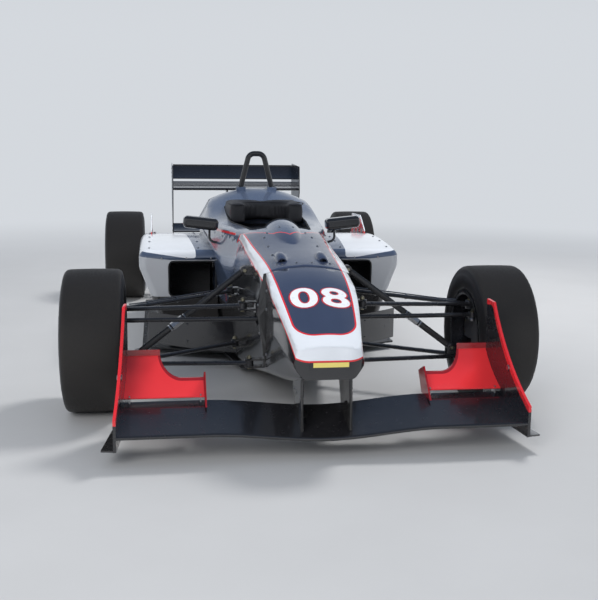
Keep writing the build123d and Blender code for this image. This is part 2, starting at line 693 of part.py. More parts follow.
for name, side in SIDES:
    plane = wheel_plane(side, FRONT_TRACK, FRONT_AXLE, FRONT_TYRE_DIAMETER)
    upper = (side * FRONT_UPPER_BALL[0], FRONT_UPPER_BALL[1], FRONT_UPPER_BALL[2])
    lower = (side * FRONT_LOWER_BALL[0], FRONT_LOWER_BALL[1], FRONT_LOWER_BALL[2])
    tie = (side * TIE_ROD_OUTER[0], TIE_ROD_OUTER[1], TIE_ROD_OUTER[2])
    web_inner = FRONT_TRACK / 2 + UPRIGHT_OFFSET
    reach = web_inner + UPRIGHT_THICKNESS / 2 - KINGPIN_X
    arm_middle = tie[2] - EYE_HEIGHT / 2 - SEAT_GAP - ARM_PLATE / 2
    with BuildPart() as upright:
        add(upright_plate(plane, FRONT_UPPER_BALL[2] - WHEEL_CENTRE_Z + PLATE_MARGIN,
                          FRONT_LOWER_BALL[2] - WHEEL_CENTRE_Z - PLATE_MARGIN))
        with BuildSketch(Plane(origin=plane.origin + plane.x_dir * UPRIGHT_OFFSET, z_dir=plane.x_dir)):
            Circle(SPINDLE_RADIUS)
        extrude(amount=HUB_OUTER - UPRIGHT_OFFSET - SEAT_GAP)
        add(clevis(upper, UP, (side, 0, 0), reach))
        add(clevis(lower, UP, (side, 0, 0), reach))
        add(caliper(plane))
        add(caliper_bracket(side, FRONT_TRACK / 2, FRONT_AXLE, WHEEL_CENTRE_Z))
        # Steering arm, with an eye under the tie rod's end
        with BuildSketch(Plane.XY.offset(arm_middle - ARM_PLATE / 2)):
            with BuildLine():
                Polyline((side * (web_inner + 8), FRONT_AXLE + 14), (side * (web_inner + 8), FRONT_AXLE - 26),
                         (tie[0] + side * EYE_RADIUS * 0.7, tie[1] - 10),
                         (tie[0] - side * EYE_RADIUS * 0.7, tie[1] - 4),
                         (side * (web_inner + 1), FRONT_AXLE + 14), close=True)
            make_face()
        extrude(amount=ARM_PLATE)
        add(disc((tie[0], tie[1], arm_middle), UP, EYE_RADIUS, ARM_PLATE))
        add(disc((tie[0], tie[1], tie[2] - PIN_HEAD), UP, PIN_RADIUS, EYE_HEIGHT + 6 * PIN_HEAD))
    write(upright, f"front_upright_{name}")
    with BuildPart() as tie_rod:
        inner = (side * TIE_ROD_INNER[0], TIE_ROD_INNER[1], TIE_ROD_INNER[2])
        add(bar(tie, inner, 2 * ROD_RADIUS, 2 * ROD_RADIUS))
        add(disc(tie, UP, EYE_RADIUS, EYE_HEIGHT))
        add(disc(tie, UP, PIN_RADIUS + SEAT_GAP, 3 * EYE_HEIGHT), mode=Mode.SUBTRACT)
    write(tie_rod, f"tie_rod_{name}")

# Gearbox behind the engine: it carries the rear arms, the wing pillars and the jack pin
ENGINE_REAR = FRONT_AXLE + 2200
ENGINE_HALF = 170
ENGINE_BOTTOM = 60
ENGINE_TOP = 590
GEARBOX_TOP = 380
GEARBOX_REAR = REAR_AXLE + 340
CasingSection = namedtuple("CasingSection", "station half bottom top")
GEARBOX_SECTIONS = (
    CasingSection(ENGINE_REAR, 115, 90, 430),
    CasingSection(REAR_AXLE - 150, 98, 125, GEARBOX_TOP),
    CasingSection(REAR_AXLE + 150, 92, 150, GEARBOX_TOP),
    CasingSection(GEARBOX_REAR, 80, 200, GEARBOX_TOP),
)
GEARBOX_CORNER = 12
with BuildPart() as engine:
    with BuildSketch(Plane.XZ.offset(-ENGINE_BULKHEAD)):
        with Locations((0, (ENGINE_TOP + ENGINE_BOTTOM) / 2)):
            Rectangle(2 * ENGINE_HALF, ENGINE_TOP - ENGINE_BOTTOM)
    extrude(amount=-(ENGINE_REAR - ENGINE_BULKHEAD))
write(engine, "engine")

# Rear suspension points on the car's left
REAR_BALL_X = 690
REAR_UPPER_BALL = (REAR_BALL_X, REAR_AXLE, 400)
REAR_LOWER_BALL = (REAR_BALL_X, REAR_AXLE, 172)
REAR_UPPER_FRONT = (130, REAR_AXLE - 190, 350)
REAR_UPPER_REAR = (124, REAR_AXLE + 130, 350)
REAR_LOWER_FRONT = (134, REAR_AXLE - 220, 168)
REAR_LOWER_REAR = (124, REAR_AXLE + 140, 178)
REAR_PUSHROD_FOOT = (620, REAR_AXLE - 24, 204)
REAR_PUSHROD_HEAD = (126, REAR_AXLE - 95, 362)
REAR_EAR_REACH = 56
OUTPUT_RADIUS = 46
OUTPUT_FACE = 116
JACK_PIN_RADIUS = 12
JACK_PIN_LENGTH = 60
JACK_PIN_Z = 230
TOW_EYE_RADIUS = 18
TOW_EYE_Z = 300
TOW_EYE_RING = 12
TOW_EYE_THICKNESS = 10

with BuildPart() as gearbox:
    for section in GEARBOX_SECTIONS:
        with BuildSketch(Plane.XZ.offset(-section.station)):
            with Locations((0, (section.bottom + section.top) / 2)):
                RectangleRounded(2 * section.half, section.top - section.bottom, GEARBOX_CORNER)
    loft(ruled=True)
    for point, axis in ((REAR_UPPER_FRONT, UP), (REAR_UPPER_REAR, UP), (REAR_LOWER_FRONT, UP),
                        (REAR_LOWER_REAR, UP), (REAR_PUSHROD_HEAD, ALONG)):
        add(clevis(point, axis, INWARD, REAR_EAR_REACH))
        add(clevis(point, axis, INWARD, REAR_EAR_REACH).mirror(Plane.YZ))
    with BuildSketch(Plane.YZ.offset(-OUTPUT_FACE)):
        with Locations((REAR_AXLE, REAR_TYRE_DIAMETER / 2)):
            Circle(OUTPUT_RADIUS)
    extrude(amount=2 * OUTPUT_FACE)
    with BuildSketch(Plane.XZ.offset(-GEARBOX_REAR)):
        with Locations((0, JACK_PIN_Z)):
            Circle(JACK_PIN_RADIUS)
    extrude(amount=-JACK_PIN_LENGTH)
    with BuildSketch(Plane.YZ.offset(-TOW_EYE_THICKNESS / 2)):
        with Locations((GEARBOX_REAR, TOW_EYE_Z)):
            Rectangle(2 * (TOW_EYE_RADIUS + TOW_EYE_RING), 2 * (TOW_EYE_RADIUS + TOW_EYE_RING))
        with Locations((GEARBOX_REAR + TOW_EYE_RADIUS + TOW_EYE_RING, TOW_EYE_Z)):
            Circle(TOW_EYE_RADIUS + TOW_EYE_RING)
            Circle(TOW_EYE_RADIUS, mode=Mode.SUBTRACT)
    extrude(amount=TOW_EYE_THICKNESS)
write(gearbox, "gearbox")

with BuildPart() as rear_upper_wishbones:
    add(linkage(
        [(REAR_UPPER_BALL, UP), (REAR_UPPER_FRONT, UP), (REAR_UPPER_REAR, UP)],
        [(REAR_UPPER_BALL, REAR_UPPER_FRONT, ARM_CHORD, ARM_THICKNESS),
         (REAR_UPPER_BALL, REAR_UPPER_REAR, ARM_CHORD, ARM_THICKNESS)]))
    mirror(about=Plane.YZ)
write(rear_upper_wishbones, "rear_upper_wishbones")

with BuildPart() as rear_lower_wishbones:
    add(linkage(
        [(REAR_LOWER_BALL, UP), (REAR_LOWER_FRONT, UP), (REAR_LOWER_REAR, UP)],
        [(REAR_LOWER_BALL, REAR_LOWER_FRONT, ARM_CHORD, ARM_THICKNESS),
         (REAR_LOWER_BALL, REAR_LOWER_REAR, ARM_CHORD, ARM_THICKNESS)]))
    add(clevis(REAR_PUSHROD_FOOT, ALONG, (0, 0, -1), LUG_HEIGHT))
    mirror(about=Plane.YZ)
write(rear_lower_wishbones, "rear_lower_wishbones")

with BuildPart() as rear_pushrods:
    add(linkage([(REAR_PUSHROD_FOOT, ALONG), (REAR_PUSHROD_HEAD, ALONG)],
                [(REAR_PUSHROD_FOOT, REAR_PUSHROD_HEAD, ROD_CHORD, ROD_WIDTH)]))
    mirror(about=Plane.YZ)
write(rear_pushrods, "rear_pushrods")

with BuildPart() as rear_uprights:
    plane = wheel_plane(1, REAR_TRACK, REAR_AXLE, REAR_TYRE_DIAMETER)
    reach = REAR_TRACK / 2 + UPRIGHT_OFFSET + UPRIGHT_THICKNESS / 2 - REAR_BALL_X
    add(upright_plate(plane, REAR_UPPER_BALL[2] - plane.origin.Z + PLATE_MARGIN,
                      REAR_LOWER_BALL[2] - plane.origin.Z - PLATE_MARGIN))
    add(caliper_bracket(1, REAR_TRACK / 2, REAR_AXLE, plane.origin.Z))
    add(clevis(REAR_UPPER_BALL, UP, (1, 0, 0), reach))
    add(clevis(REAR_LOWER_BALL, UP, (1, 0, 0), reach))
    add(caliper(plane))
    with BuildSketch(Plane(origin=plane.origin + plane.x_dir * (UPRIGHT_OFFSET - 1), z_dir=plane.x_dir)):
        Circle(SPINDLE_RADIUS + RUNNING_GAP)
    extrude(amount=UPRIGHT_THICKNESS + 2, mode=Mode.SUBTRACT)
    mirror(about=Plane.YZ)
write(rear_uprights, "rear_uprights")

JOINT_RADIUS = 40
JOINT_LENGTH = 54
SHAFT_RADIUS = 14
for name, side in SIDES:
    plane = wheel_plane(side, REAR_TRACK, REAR_AXLE, REAR_TYRE_DIAMETER)
    start = OUTPUT_FACE + SEAT_GAP
    end = plane.origin.X * side + HUB_OUTER - SEAT_GAP
    outer_joint = plane.origin.X * side + UPRIGHT_OFFSET - 2
    with BuildPart() as driveshaft:
        for low, high, radius in ((start, start + JOINT_LENGTH, JOINT_RADIUS),
                                  (start, outer_joint, SHAFT_RADIUS),
                                  (outer_joint - JOINT_LENGTH, outer_joint, JOINT_RADIUS),
                                  (outer_joint, end, SPINDLE_RADIUS)):
            with BuildSketch(Plane(origin=(side * low, REAR_AXLE, plane.origin.Z), z_dir=(side, 0, 0))):
                Circle(radius)
            extrude(amount=high - low)
    write(driveshaft, f"driveshaft_{name}")

# Engine cover: a shell from the engine bulkhead to the tail, open underneath
COVER_SECTIONS = (
    COCKPIT_SECTIONS[-1],
    Section(FRONT_AXLE + 2050, 200, 40, 258, 556, 192, 692, 742, 48),
    Section(FRONT_AXLE + 2400, 150, 40, 190, 500, 112, 602, 655, 48),
    Section(FRONT_AXLE + 2750, 105, 40, 130, 446, 62, 500, 540, 36),
)
COVER_BOTTOM = 330
COVER_CUT_STATION = FRONT_AXLE + 2340
COVER_REAR_BOTTOM = 446
with BuildPart() as engine_cover:
    loft([body_section(section) for section in COVER_SECTIONS])
    loft([body_section(section, SKIN) for section in COVER_SECTIONS], mode=Mode.SUBTRACT)
    split(bisect_by=Plane.XY.offset(COVER_BOTTOM), keep=Keep.TOP)
    with BuildSketch(Plane.XY):
        with Locations((0, COVER_CUT_STATION)):
            Rectangle(2 * POD_OUTER, WHEELBASE, align=(Align.CENTER, Align.MIN))
    extrude(amount=COVER_REAR_BOTTOM, mode=Mode.SUBTRACT)
    add(pod_space(SEAT_GAP), mode=Mode.SUBTRACT)
write(engine_cover, "engine_cover")

# Tail pipe on the engine's right
EXHAUST_RADIUS = 25
EXHAUST_WALL = 3
EXHAUST_X = -144
EXHAUST_Z = 345
EXHAUST_BEND = 180
with BuildPart() as exhaust:
    with BuildLine() as route:
        FilletPolyline((EXHAUST_X, ENGINE_REAR, EXHAUST_Z), (EXHAUST_X - 4, ENGINE_REAR + 130, EXHAUST_Z),
                       (EXHAUST_X - 14, ENGINE_REAR + 262, EXHAUST_Z + 29), radius=EXHAUST_BEND)
    with BuildSketch(Plane.XZ.offset(-ENGINE_REAR)):
        with Locations((EXHAUST_X, EXHAUST_Z)):
            Circle(EXHAUST_RADIUS)
            Circle(EXHAUST_RADIUS - EXHAUST_WALL, mode=Mode.SUBTRACT)
    sweep(path=route.wires()[0])
write(exhaust, "exhaust")

# Sidepods: side outline, plan and cross-section meet in one hollow body
POD_TAPER_STATION = FRONT_AXLE + 1650
POD_REAR_OUTER = 400
POD_SILL = 505
POD_WAIST = 596
POD_WAIST_Z = 300
POD_FLANK_Z = 440
POD_ROUNDING = 40
INTAKE_INNER = 276
INTAKE_OUTER = 505
INTAKE_BOTTOM = 300
INTAKE_TOP = 470
INTAKE_CORNER = 24
OUTLET_X = POD_INNER + 66
OUTLET_Z = 220
OUTLET_WIDTH = 100
OUTLET_HEIGHT = 320


def pod_body(inset):
    """The left sidepod, drawn smaller by the inset."""
    inner = POD_INNER + SEAT_GAP + inset
    with BuildPart() as made:
        extrude(pod_side_outline(-inset), amount=POD_OUTER + 10)
        with BuildSketch(Plane.XY):
            with BuildLine():
                Polyline((POD_REAR_OUTER - inset, POD_REAR), (inner, POD_REAR), (inner, POD_FRONT),
                         (POD_OUTER - inset, POD_FRONT), (POD_OUTER - inset, POD_TAPER_STATION))
                TangentArc((POD_OUTER - inset, POD_TAPER_STATION), (POD_REAR_OUTER - inset, POD_REAR),
                           tangent=(0, 1))
            make_face()
        extrude(amount=1000, mode=Mode.INTERSECT)
        with BuildSketch(Plane.XZ.offset(-POD_FRONT + 10)):
            with BuildLine():
                FilletPolyline((inner - 5, FLOOR_TOP + inset), (POD_SILL - inset, FLOOR_TOP + inset),
                               (POD_WAIST - inset, POD_WAIST_Z), (POD_OUTER - inset, POD_FLANK_Z),
                               (POD_OUTER - inset, 700), (inner - 5, 700),
                               radius=(10, 60, 60, 10))
                Line((inner - 5, 700), (inner - 5, FLOOR_TOP + inset))
            make_face()
        extrude(amount=-(POD_REAR - POD_FRONT + 20), mode=Mode.INTERSECT)
        fillet(made.edges().filter_by(lambda edge: edge.geom_type == GeomType.BSPLINE and edge.length > 500
                                      and edge.center().X > inner + 20), POD_ROUNDING - inset)
        fillet(made.edges().filter_by(lambda edge: abs(edge.center().Y - POD_FRONT - inset) < 2
                                      and edge.center().X > inner + 20
                                      and edge.center().Z > POD_WAIST_Z), POD_ROUNDING - inset)
    return made.part


with BuildPart() as sidepods:
    add(pod_body(0))
    add(pod_body(SKIN), mode=Mode.SUBTRACT)
    with BuildSketch(Plane.XZ.offset(-POD_FRONT + 1)):
        with Locations(((INTAKE_INNER + INTAKE_OUTER) / 2, (INTAKE_BOTTOM + INTAKE_TOP) / 2)):
            RectangleRounded(INTAKE_OUTER - INTAKE_INNER, INTAKE_TOP - INTAKE_BOTTOM, INTAKE_CORNER)
    extrude(amount=-SKIN - 2, mode=Mode.SUBTRACT)
    with BuildSketch(Plane.XZ.offset(-POD_REAR - 1)):
        with Locations((OUTLET_X, OUTLET_Z)):
            Rectangle(OUTLET_WIDTH, OUTLET_HEIGHT)
    extrude(amount=SKIN + 2, mode=Mode.SUBTRACT)
    mirror(about=Plane.YZ)
write(sidepods, "sidepods")

# Radiator cores, slanted across the sidepods and trimmed to the shells
RADIATOR_THICKNESS = 60
RADIATOR_WIDTH = 330
RADIATOR_X = 440
RADIATOR_STATION = POD_FRONT + 330
RADIATOR_HEIGHT = 400
RADIATOR_SLANT = 18
with BuildPart() as radiators:
    slant = radians(RADIATOR_SLANT)
    with BuildSketch(Plane(origin=(RADIATOR_X, RADIATOR_STATION, FLOOR_TOP + SKIN),
                           x_dir=(cos(slant), sin(slant), 0), z_dir=UP)):
        Rectangle(RADIATOR_WIDTH, RADIATOR_THICKNESS)
    extrude(amount=RADIATOR_HEIGHT)
    add(pod_body(SKIN + SEAT_GAP), mode=Mode.INTERSECT)
    mirror(about=Plane.YZ)
write(radiators, "radiators")

# Fins on top of the sidepods
FIN_X = 588
FIN_PLATE = 5
FIN_STATION = FRONT_AXLE + 1430
with BuildPart() as sidepod_fins:
    with BuildSketch(Plane.YZ.offset(FIN_X)):
        with BuildLine():
            Polyline((FIN_STATION, 500), (FIN_STATION + 10, 572), (FIN_STATION + 130, 645),
                     (FIN_STATION + 350, 640), (FIN_STATION + 360, 480), close=True)
        make_face()
    extrude(amount=FIN_PLATE)
    extrude(pod_side_outline(SEAT_GAP), amount=POD_OUTER, mode=Mode.SUBTRACT)
    mirror(about=Plane.YZ)
write(sidepod_fins, "sidepod_fins")

# Floor and diffuser
FLOOR_FRONT = FRONT_AXLE + 470
FLOOR_FRONT_HALF = 190
FLOOR_HALF = 640
FLOOR_REAR = FRONT_AXLE + 2400
DIFFUSER_HALF = 430
DIFFUSER_REAR = REAR_AXLE + 310
DIFFUSER_TOP = 150
STRAKE_X = 150
STRAKE_REAR_Z = 60
with BuildPart() as floor:
    with BuildSketch(Plane.XY.offset(GROUND_CLEARANCE)):
        with BuildLine():
            Polyline((0, FLOOR_REAR), (0, FLOOR_FRONT), (FLOOR_FRONT_HALF, FLOOR_FRONT),
                     (FLOOR_FRONT_HALF + 60, POD_FRONT - 120), (FLOOR_HALF, POD_FRONT + 40),
                     (FLOOR_HALF, FLOOR_REAR - 100), (DIFFUSER_HALF, FLOOR_REAR), close=True)
        make_face()
        mirror(about=Plane.YZ)
    extrude(amount=FLOOR_THICKNESS)
write(floor, "floor")

with BuildPart() as diffuser:
    with BuildSketch(Plane.YZ.offset(-DIFFUSER_HALF)):
        with BuildLine():
            Polyline((FLOOR_REAR, GROUND_CLEARANCE), (DIFFUSER_REAR, DIFFUSER_TOP),
                     (DIFFUSER_REAR, DIFFUSER_TOP + SKIN), (FLOOR_REAR, FLOOR_TOP), close=True)
        make_face()
    extrude(amount=2 * DIFFUSER_HALF)
    for x in (-DIFFUSER_HALF, -STRAKE_X, STRAKE_X - SKIN, DIFFUSER_HALF - SKIN):
        with BuildSketch(Plane.YZ.offset(x)):
            with BuildLine():
                Polyline((FLOOR_REAR, GROUND_CLEARANCE), (DIFFUSER_REAR, STRAKE_REAR_Z),
                         (DIFFUSER_REAR, DIFFUSER_TOP + 1), close=True)
            make_face()
        extrude(amount=SKIN)
write(diffuser, "diffuser")

# Rear wing
REAR_WING_HALF = 446
REAR_ENDPLATE_THICKNESS = 6
REAR_END = REAR_AXLE + REAR_OVERHANG
Element = namedtuple("Element", "front height chord rise thickness camber")
REAR_MAIN = Element(REAR_AXLE + 300, 716, 220, 44, 26, 14)
REAR_FLAP = Element(REAR_AXLE + 512, 782, 128, 86, 12, 12)
BEAM_WING = Element(REAR_AXLE + 385, 404, 150, 48, 14, 10)


def rear_element(element, extra=0):
    """Straight wing element across the car, its skins grown by the extra."""
    thickness = element.thickness + 2 * extra
    with BuildPart() as made:
        loft([wing_section(x, (element.front + thickness / 3, element.height),
                           (element.front + element.chord, element.height + element.rise),
                           thickness, element.camber)
              for x in (-REAR_WING_HALF, REAR_WING_HALF)], ruled=True)
    return made.part


with BuildPart() as rear_wing:
    for element in (REAR_MAIN, REAR_FLAP, BEAM_WING):
        add(rear_element(element))
write(rear_wing, "rear_wing")

with BuildPart() as rear_wing_endplates:
    with BuildSketch(Plane.YZ.offset(REAR_WING_HALF)):
        with BuildLine():
            FilletPolyline((REAR_END, 700), (REAR_END, 892), (REAR_END - 380, 880), (REAR_END - 400, 700),
                           (REAR_END - 290, 470), (REAR_END - 270, 390), (REAR_END - 90, 390),
                           (REAR_END, 700), radius=20)
        make_face()
    extrude(amount=REAR_ENDPLATE_THICKNESS)
    mirror(about=Plane.YZ)
write(rear_wing_endplates, "rear_wing_endplates")

PILLAR_X = 56
PILLAR_THICKNESS = 8
with BuildPart() as rear_wing_pillars:
    with BuildSketch(Plane.YZ.offset(PILLAR_X)):
        with BuildLine():
            Polyline((REAR_AXLE + 190, GEARBOX_TOP), (REAR_AXLE + 335, GEARBOX_TOP),
                     (REAR_AXLE + 360, 470), (REAR_AXLE + 440, 716), (REAR_AXLE + 340, 710),
                     (REAR_AXLE + 215, 470), close=True)
        make_face()
    extrude(amount=PILLAR_THICKNESS)
    mirror(about=Plane.YZ)
    add(rear_element(REAR_MAIN, SEAT_GAP), mode=Mode.SUBTRACT)
write(rear_wing_pillars, "rear_wing_pillars")

LIGHT_WIDTH = 90
LIGHT_HEIGHT = 34
LIGHT_DEPTH = 26
with BuildPart() as rear_light:
    with BuildSketch(Plane.XZ.offset(-GEARBOX_REAR)):
        with Locations((0, GEARBOX_TOP - 5 - LIGHT_HEIGHT / 2)):
            RectangleRounded(LIGHT_WIDTH, LIGHT_HEIGHT, 8)
    extrude(amount=-LIGHT_DEPTH)
write(rear_light, "rear_light")

# Cockpit fittings
HOOP_RADIUS = 15
HOOP_TOP = 1000
HOOP_TOP_HALF = 40
HOOP_BEND = 38
with BuildPart() as roll_hoop:
    with BuildLine() as route:
        FilletPolyline((-ROLL_HOOP_HALF, ROLL_HOOP_STATION, ROLL_PAD_TOP),
                       (-HOOP_TOP_HALF, ROLL_HOOP_STATION, HOOP_TOP - HOOP_RADIUS),
                       (HOOP_TOP_HALF, ROLL_HOOP_STATION, HOOP_TOP - HOOP_RADIUS),
                       (ROLL_HOOP_HALF, ROLL_HOOP_STATION, ROLL_PAD_TOP), radius=HOOP_BEND)
    with BuildSketch(Plane(origin=route.line @ 0, z_dir=route.line % 0)):
        Circle(HOOP_RADIUS)
    sweep(path=route.line)
    split(bisect_by=Plane.XY.offset(ROLL_PAD_TOP), keep=Keep.TOP)
write(roll_hoop, "roll_hoop")

CAVITY_FLOOR = FLOOR_TOP + TUB_WALL
SEAT_HALF = 170
SEAT_MIDDLE_HALF = 132
SEAT_BACK = FRONT_AXLE + 1400
with BuildPart() as seat:
    with BuildSketch(Plane.YZ.offset(-SEAT_HALF)):
        with BuildLine():
            Polyline((FRONT_AXLE + 860, CAVITY_FLOOR), (FRONT_AXLE + 860, 168), (FRONT_AXLE + 1000, 148),
                     (FRONT_AXLE + 1066, 172), (FRONT_AXLE + 1290, 600), (SEAT_BACK, 612),
                     (SEAT_BACK, 560), (FRONT_AXLE + 1180, CAVITY_FLOOR), close=True)
        make_face()
    extrude(amount=2 * SEAT_HALF)
    with BuildSketch(Plane.YZ.offset(-SEAT_MIDDLE_HALF)):
        with BuildLine():
            FilletPolyline((FRONT_AXLE + 850, 132), (FRONT_AXLE + 1000, 108), (FRONT_AXLE + 1092, 140),
                           (FRONT_AXLE + 1330, 640), radius=(50, 50))
            Polyline((FRONT_AXLE + 1330, 640), (FRONT_AXLE + 850, 640), (FRONT_AXLE + 850, 132))
        make_face()
    extrude(amount=2 * SEAT_MIDDLE_HALF, mode=Mode.SUBTRACT)
write(seat, "seat")

HEADREST_BOTTOM = 640
HEADREST_TOP = 738
HEADREST_FRONT = FRONT_AXLE + 1120
HEAD_SPACE_LENGTH = 420
HEAD_SPACE_WIDTH = 236
with BuildPart() as headrest:
    extrude(cockpit_outline(-SEAT_GAP).moved(Location((0, -SEAT_GAP, HEADREST_BOTTOM - OUTLINE_Z))),
            amount=HEADREST_TOP - HEADREST_BOTTOM)
    split(bisect_by=Plane.XZ.offset(-HEADREST_FRONT), keep=Keep.BOTTOM)
    with BuildSketch(Plane.XY.offset(HEADREST_BOTTOM)):
        with Locations((0, HEADREST_FRONT)):
            SlotOverall(HEAD_SPACE_LENGTH, HEAD_SPACE_WIDTH, rotation=90)
    extrude(amount=HEADREST_TOP - HEADREST_BOTTOM, mode=Mode.SUBTRACT)
write(headrest, "headrest")

# Mirrors: rounded housings, outer ends a little higher, on bent stays from the cockpit sides
MIRROR_STATION = FRONT_AXLE + 850
MIRROR_X = 350
MIRROR_Z = 660
MIRROR_WIDTH = 170
MIRROR_HEIGHT = 58
MIRROR_DEPTH = 54
MIRROR_LIFT = 6
MIRROR_ROUNDING = 17
GLASS_RECESS = 4
STAY_RADIUS = 6
with BuildPart() as mirrors:
    mirror_plane = Plane(origin=(MIRROR_X, MIRROR_STATION, MIRROR_Z),
                         x_dir=(cos(radians(MIRROR_LIFT)), 0, sin(radians(MIRROR_LIFT))), z_dir=(0, 1, 0))
    with BuildSketch(mirror_plane):
        RectangleRounded(MIRROR_WIDTH, MIRROR_HEIGHT, 20)
    extrude(amount=MIRROR_DEPTH)
    fillet(mirrors.faces().sort_by(Axis.Y)[0].edges(), MIRROR_ROUNDING)
    with BuildSketch(mirror_plane.offset(MIRROR_DEPTH - GLASS_RECESS)):
        RectangleRounded(MIRROR_WIDTH - 12, MIRROR_HEIGHT - 12, 14)
    extrude(amount=GLASS_RECESS, mode=Mode.SUBTRACT)
    with BuildLine() as stay:
        FilletPolyline((MIRROR_X - 42, MIRROR_STATION + 26, MIRROR_Z - 14),
                       (MIRROR_X - 40, MIRROR_STATION + 22, 574),
                       (228, MIRROR_STATION + 18, 556), radius=26)
    with BuildSketch(Plane(origin=stay.line @ 0, z_dir=stay.line % 0)):
        Circle(STAY_RADIUS)
    sweep(path=stay.line)
    add(hull_room.part, mode=Mode.SUBTRACT)
    mirror(about=Plane.YZ)
write(mirrors, "mirrors")

# Turning vanes ahead of the sidepods, held to the tub by their roots and two stays
VANE_BOTTOM = 92
VANE_HEIGHT = 148
VANE_THICKNESS = 5
VANE_ROOT = (190, FRONT_AXLE + 530)
VANE_MIDDLE = (430, FRONT_AXLE + 668)
VANE_TIP = (606, FRONT_AXLE + 812)
VANE_STAYS = (126, 206)
with BuildPart() as turning_vanes:
    with BuildSketch(Plane.XY.offset(VANE_BOTTOM)):
        with BuildLine():
            ThreePointArc(VANE_ROOT, VANE_MIDDLE, VANE_TIP)
            offset(amount=VANE_THICKNESS / 2, side=Side.BOTH)
        make_face()
    extrude(amount=VANE_HEIGHT)
    for height in VANE_STAYS:
        add(bar((VANE_MIDDLE[0], VANE_MIDDLE[1], height), (180, VANE_MIDDLE[1], height), 22, 8))
    add(hull_room.part, mode=Mode.SUBTRACT)
    mirror(about=Plane.YZ)
write(turning_vanes, "turning_vanes")

# Steering wheel with hand holes at both sides and its shaft through the dash
TILT = radians(WHEEL_TILT)
DRIVER = (0, cos(TILT), sin(TILT))
GRIP_THICKNESS = 22
GRIP_WIDTH = 270
GRIP_HEIGHT = 176
HAND_HOLE_X = 88
COLUMN_LENGTH = 280
with BuildPart() as steering_wheel:
    face = Plane(origin=STEERING_CENTRE, x_dir=(1, 0, 0), z_dir=DRIVER)
    with BuildSketch(face.offset(-GRIP_THICKNESS / 2)):
        RectangleRounded(GRIP_WIDTH, GRIP_HEIGHT, 60)
        with Locations((0, 58)):
            RectangleRounded(190, 34, 15, mode=Mode.SUBTRACT)
        with Locations((-HAND_HOLE_X, -14), (HAND_HOLE_X, -14)):
            RectangleRounded(38, 84, 16, mode=Mode.SUBTRACT)
    extrude(amount=GRIP_THICKNESS)
    with BuildSketch(face.offset(-GRIP_THICKNESS / 2)):
        Circle(COLUMN_RADIUS)
    extrude(amount=-COLUMN_LENGTH)
write(steering_wheel, "steering_wheel")
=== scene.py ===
import json
from itertools import product
from math import cos, hypot, pi, radians, sin

import bmesh
import bpy
from mathutils import Matrix, Vector
from mathutils.bvhtree import BVHTree

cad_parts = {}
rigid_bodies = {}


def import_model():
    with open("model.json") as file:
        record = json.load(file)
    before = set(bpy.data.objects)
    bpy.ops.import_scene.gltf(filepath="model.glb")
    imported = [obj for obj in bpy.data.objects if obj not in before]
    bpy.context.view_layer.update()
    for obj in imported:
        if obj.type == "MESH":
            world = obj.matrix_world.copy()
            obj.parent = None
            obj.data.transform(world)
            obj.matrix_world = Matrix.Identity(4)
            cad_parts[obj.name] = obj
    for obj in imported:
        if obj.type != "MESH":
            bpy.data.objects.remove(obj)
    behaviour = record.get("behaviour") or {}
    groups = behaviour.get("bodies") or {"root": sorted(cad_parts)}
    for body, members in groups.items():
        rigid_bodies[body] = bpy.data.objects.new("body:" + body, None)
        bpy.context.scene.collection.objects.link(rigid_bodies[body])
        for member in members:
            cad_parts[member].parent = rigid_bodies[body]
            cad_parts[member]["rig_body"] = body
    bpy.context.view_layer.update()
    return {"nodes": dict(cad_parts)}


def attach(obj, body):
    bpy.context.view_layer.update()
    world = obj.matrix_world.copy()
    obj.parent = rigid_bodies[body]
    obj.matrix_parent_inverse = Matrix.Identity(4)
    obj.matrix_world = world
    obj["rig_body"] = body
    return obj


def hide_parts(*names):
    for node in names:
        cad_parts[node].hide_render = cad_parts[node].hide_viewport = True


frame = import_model()
scene = bpy.context.scene
scene.view_settings.view_transform = "Standard"

# Studio: a pale floor that fades into a soft pale sky, and large softboxes.
# The camera stands low in front of the car and a little to its right, as in the photograph.
HORIZON = (0.66, 0.69, 0.73, 1)
HIGH_SKY = (0.085, 0.125, 0.200, 1)
FADE_START, FADE_END = 3.0, 8.0
CAMERA_PLACE = (-0.552, -4.920, 1.053)
CAMERA_LENS = 55.1
YAW, PITCH, ROLL = radians(8.75), radians(9.76), radians(0.68)


class Pattern:
    """A value or colour in a node tree; sums with it add Math nodes to that tree."""

    def __init__(self, socket):
        self.socket = socket

    def __add__(self, other):
        return calc("ADD", self, other)

    def __sub__(self, other):
        return calc("SUBTRACT", self, other)

    def __rsub__(self, other):
        return calc("SUBTRACT", other, self)

    def __mul__(self, other):
        return calc("MULTIPLY", self, other)

    def __abs__(self):
        return calc("ABSOLUTE", self)


def feed(socket, given):
    """Link a pattern to a socket, or set a plain value on it."""
    if isinstance(given, Pattern):
        socket.id_data.links.new(given.socket, socket)
    elif given is not None:
        socket.default_value = given


def wire(tree, kind, *given, output=0, **settings):
    """Pattern from a new node of that kind, its inputs fed in order."""
    node = tree.nodes.new(kind)
    for key, value in settings.items():
        setattr(node, key, value)
    for socket, value in zip(node.inputs, given):
        feed(socket, value)
    return Pattern(node.outputs[output])


def calc(operation, *terms):
    """Result of one sum on patterns and numbers."""
    tree = next(term.socket.id_data for term in terms if isinstance(term, Pattern))
    return wire(tree, "ShaderNodeMath", *terms, operation=operation)


def ramp(value, low, high, start=0.0, end=1.0, **settings):
    """A pattern's span from low to high, carried over to the span from start to end."""
    return wire(value.socket.id_data, "ShaderNodeMapRange", value, low, high, start, end, **settings)


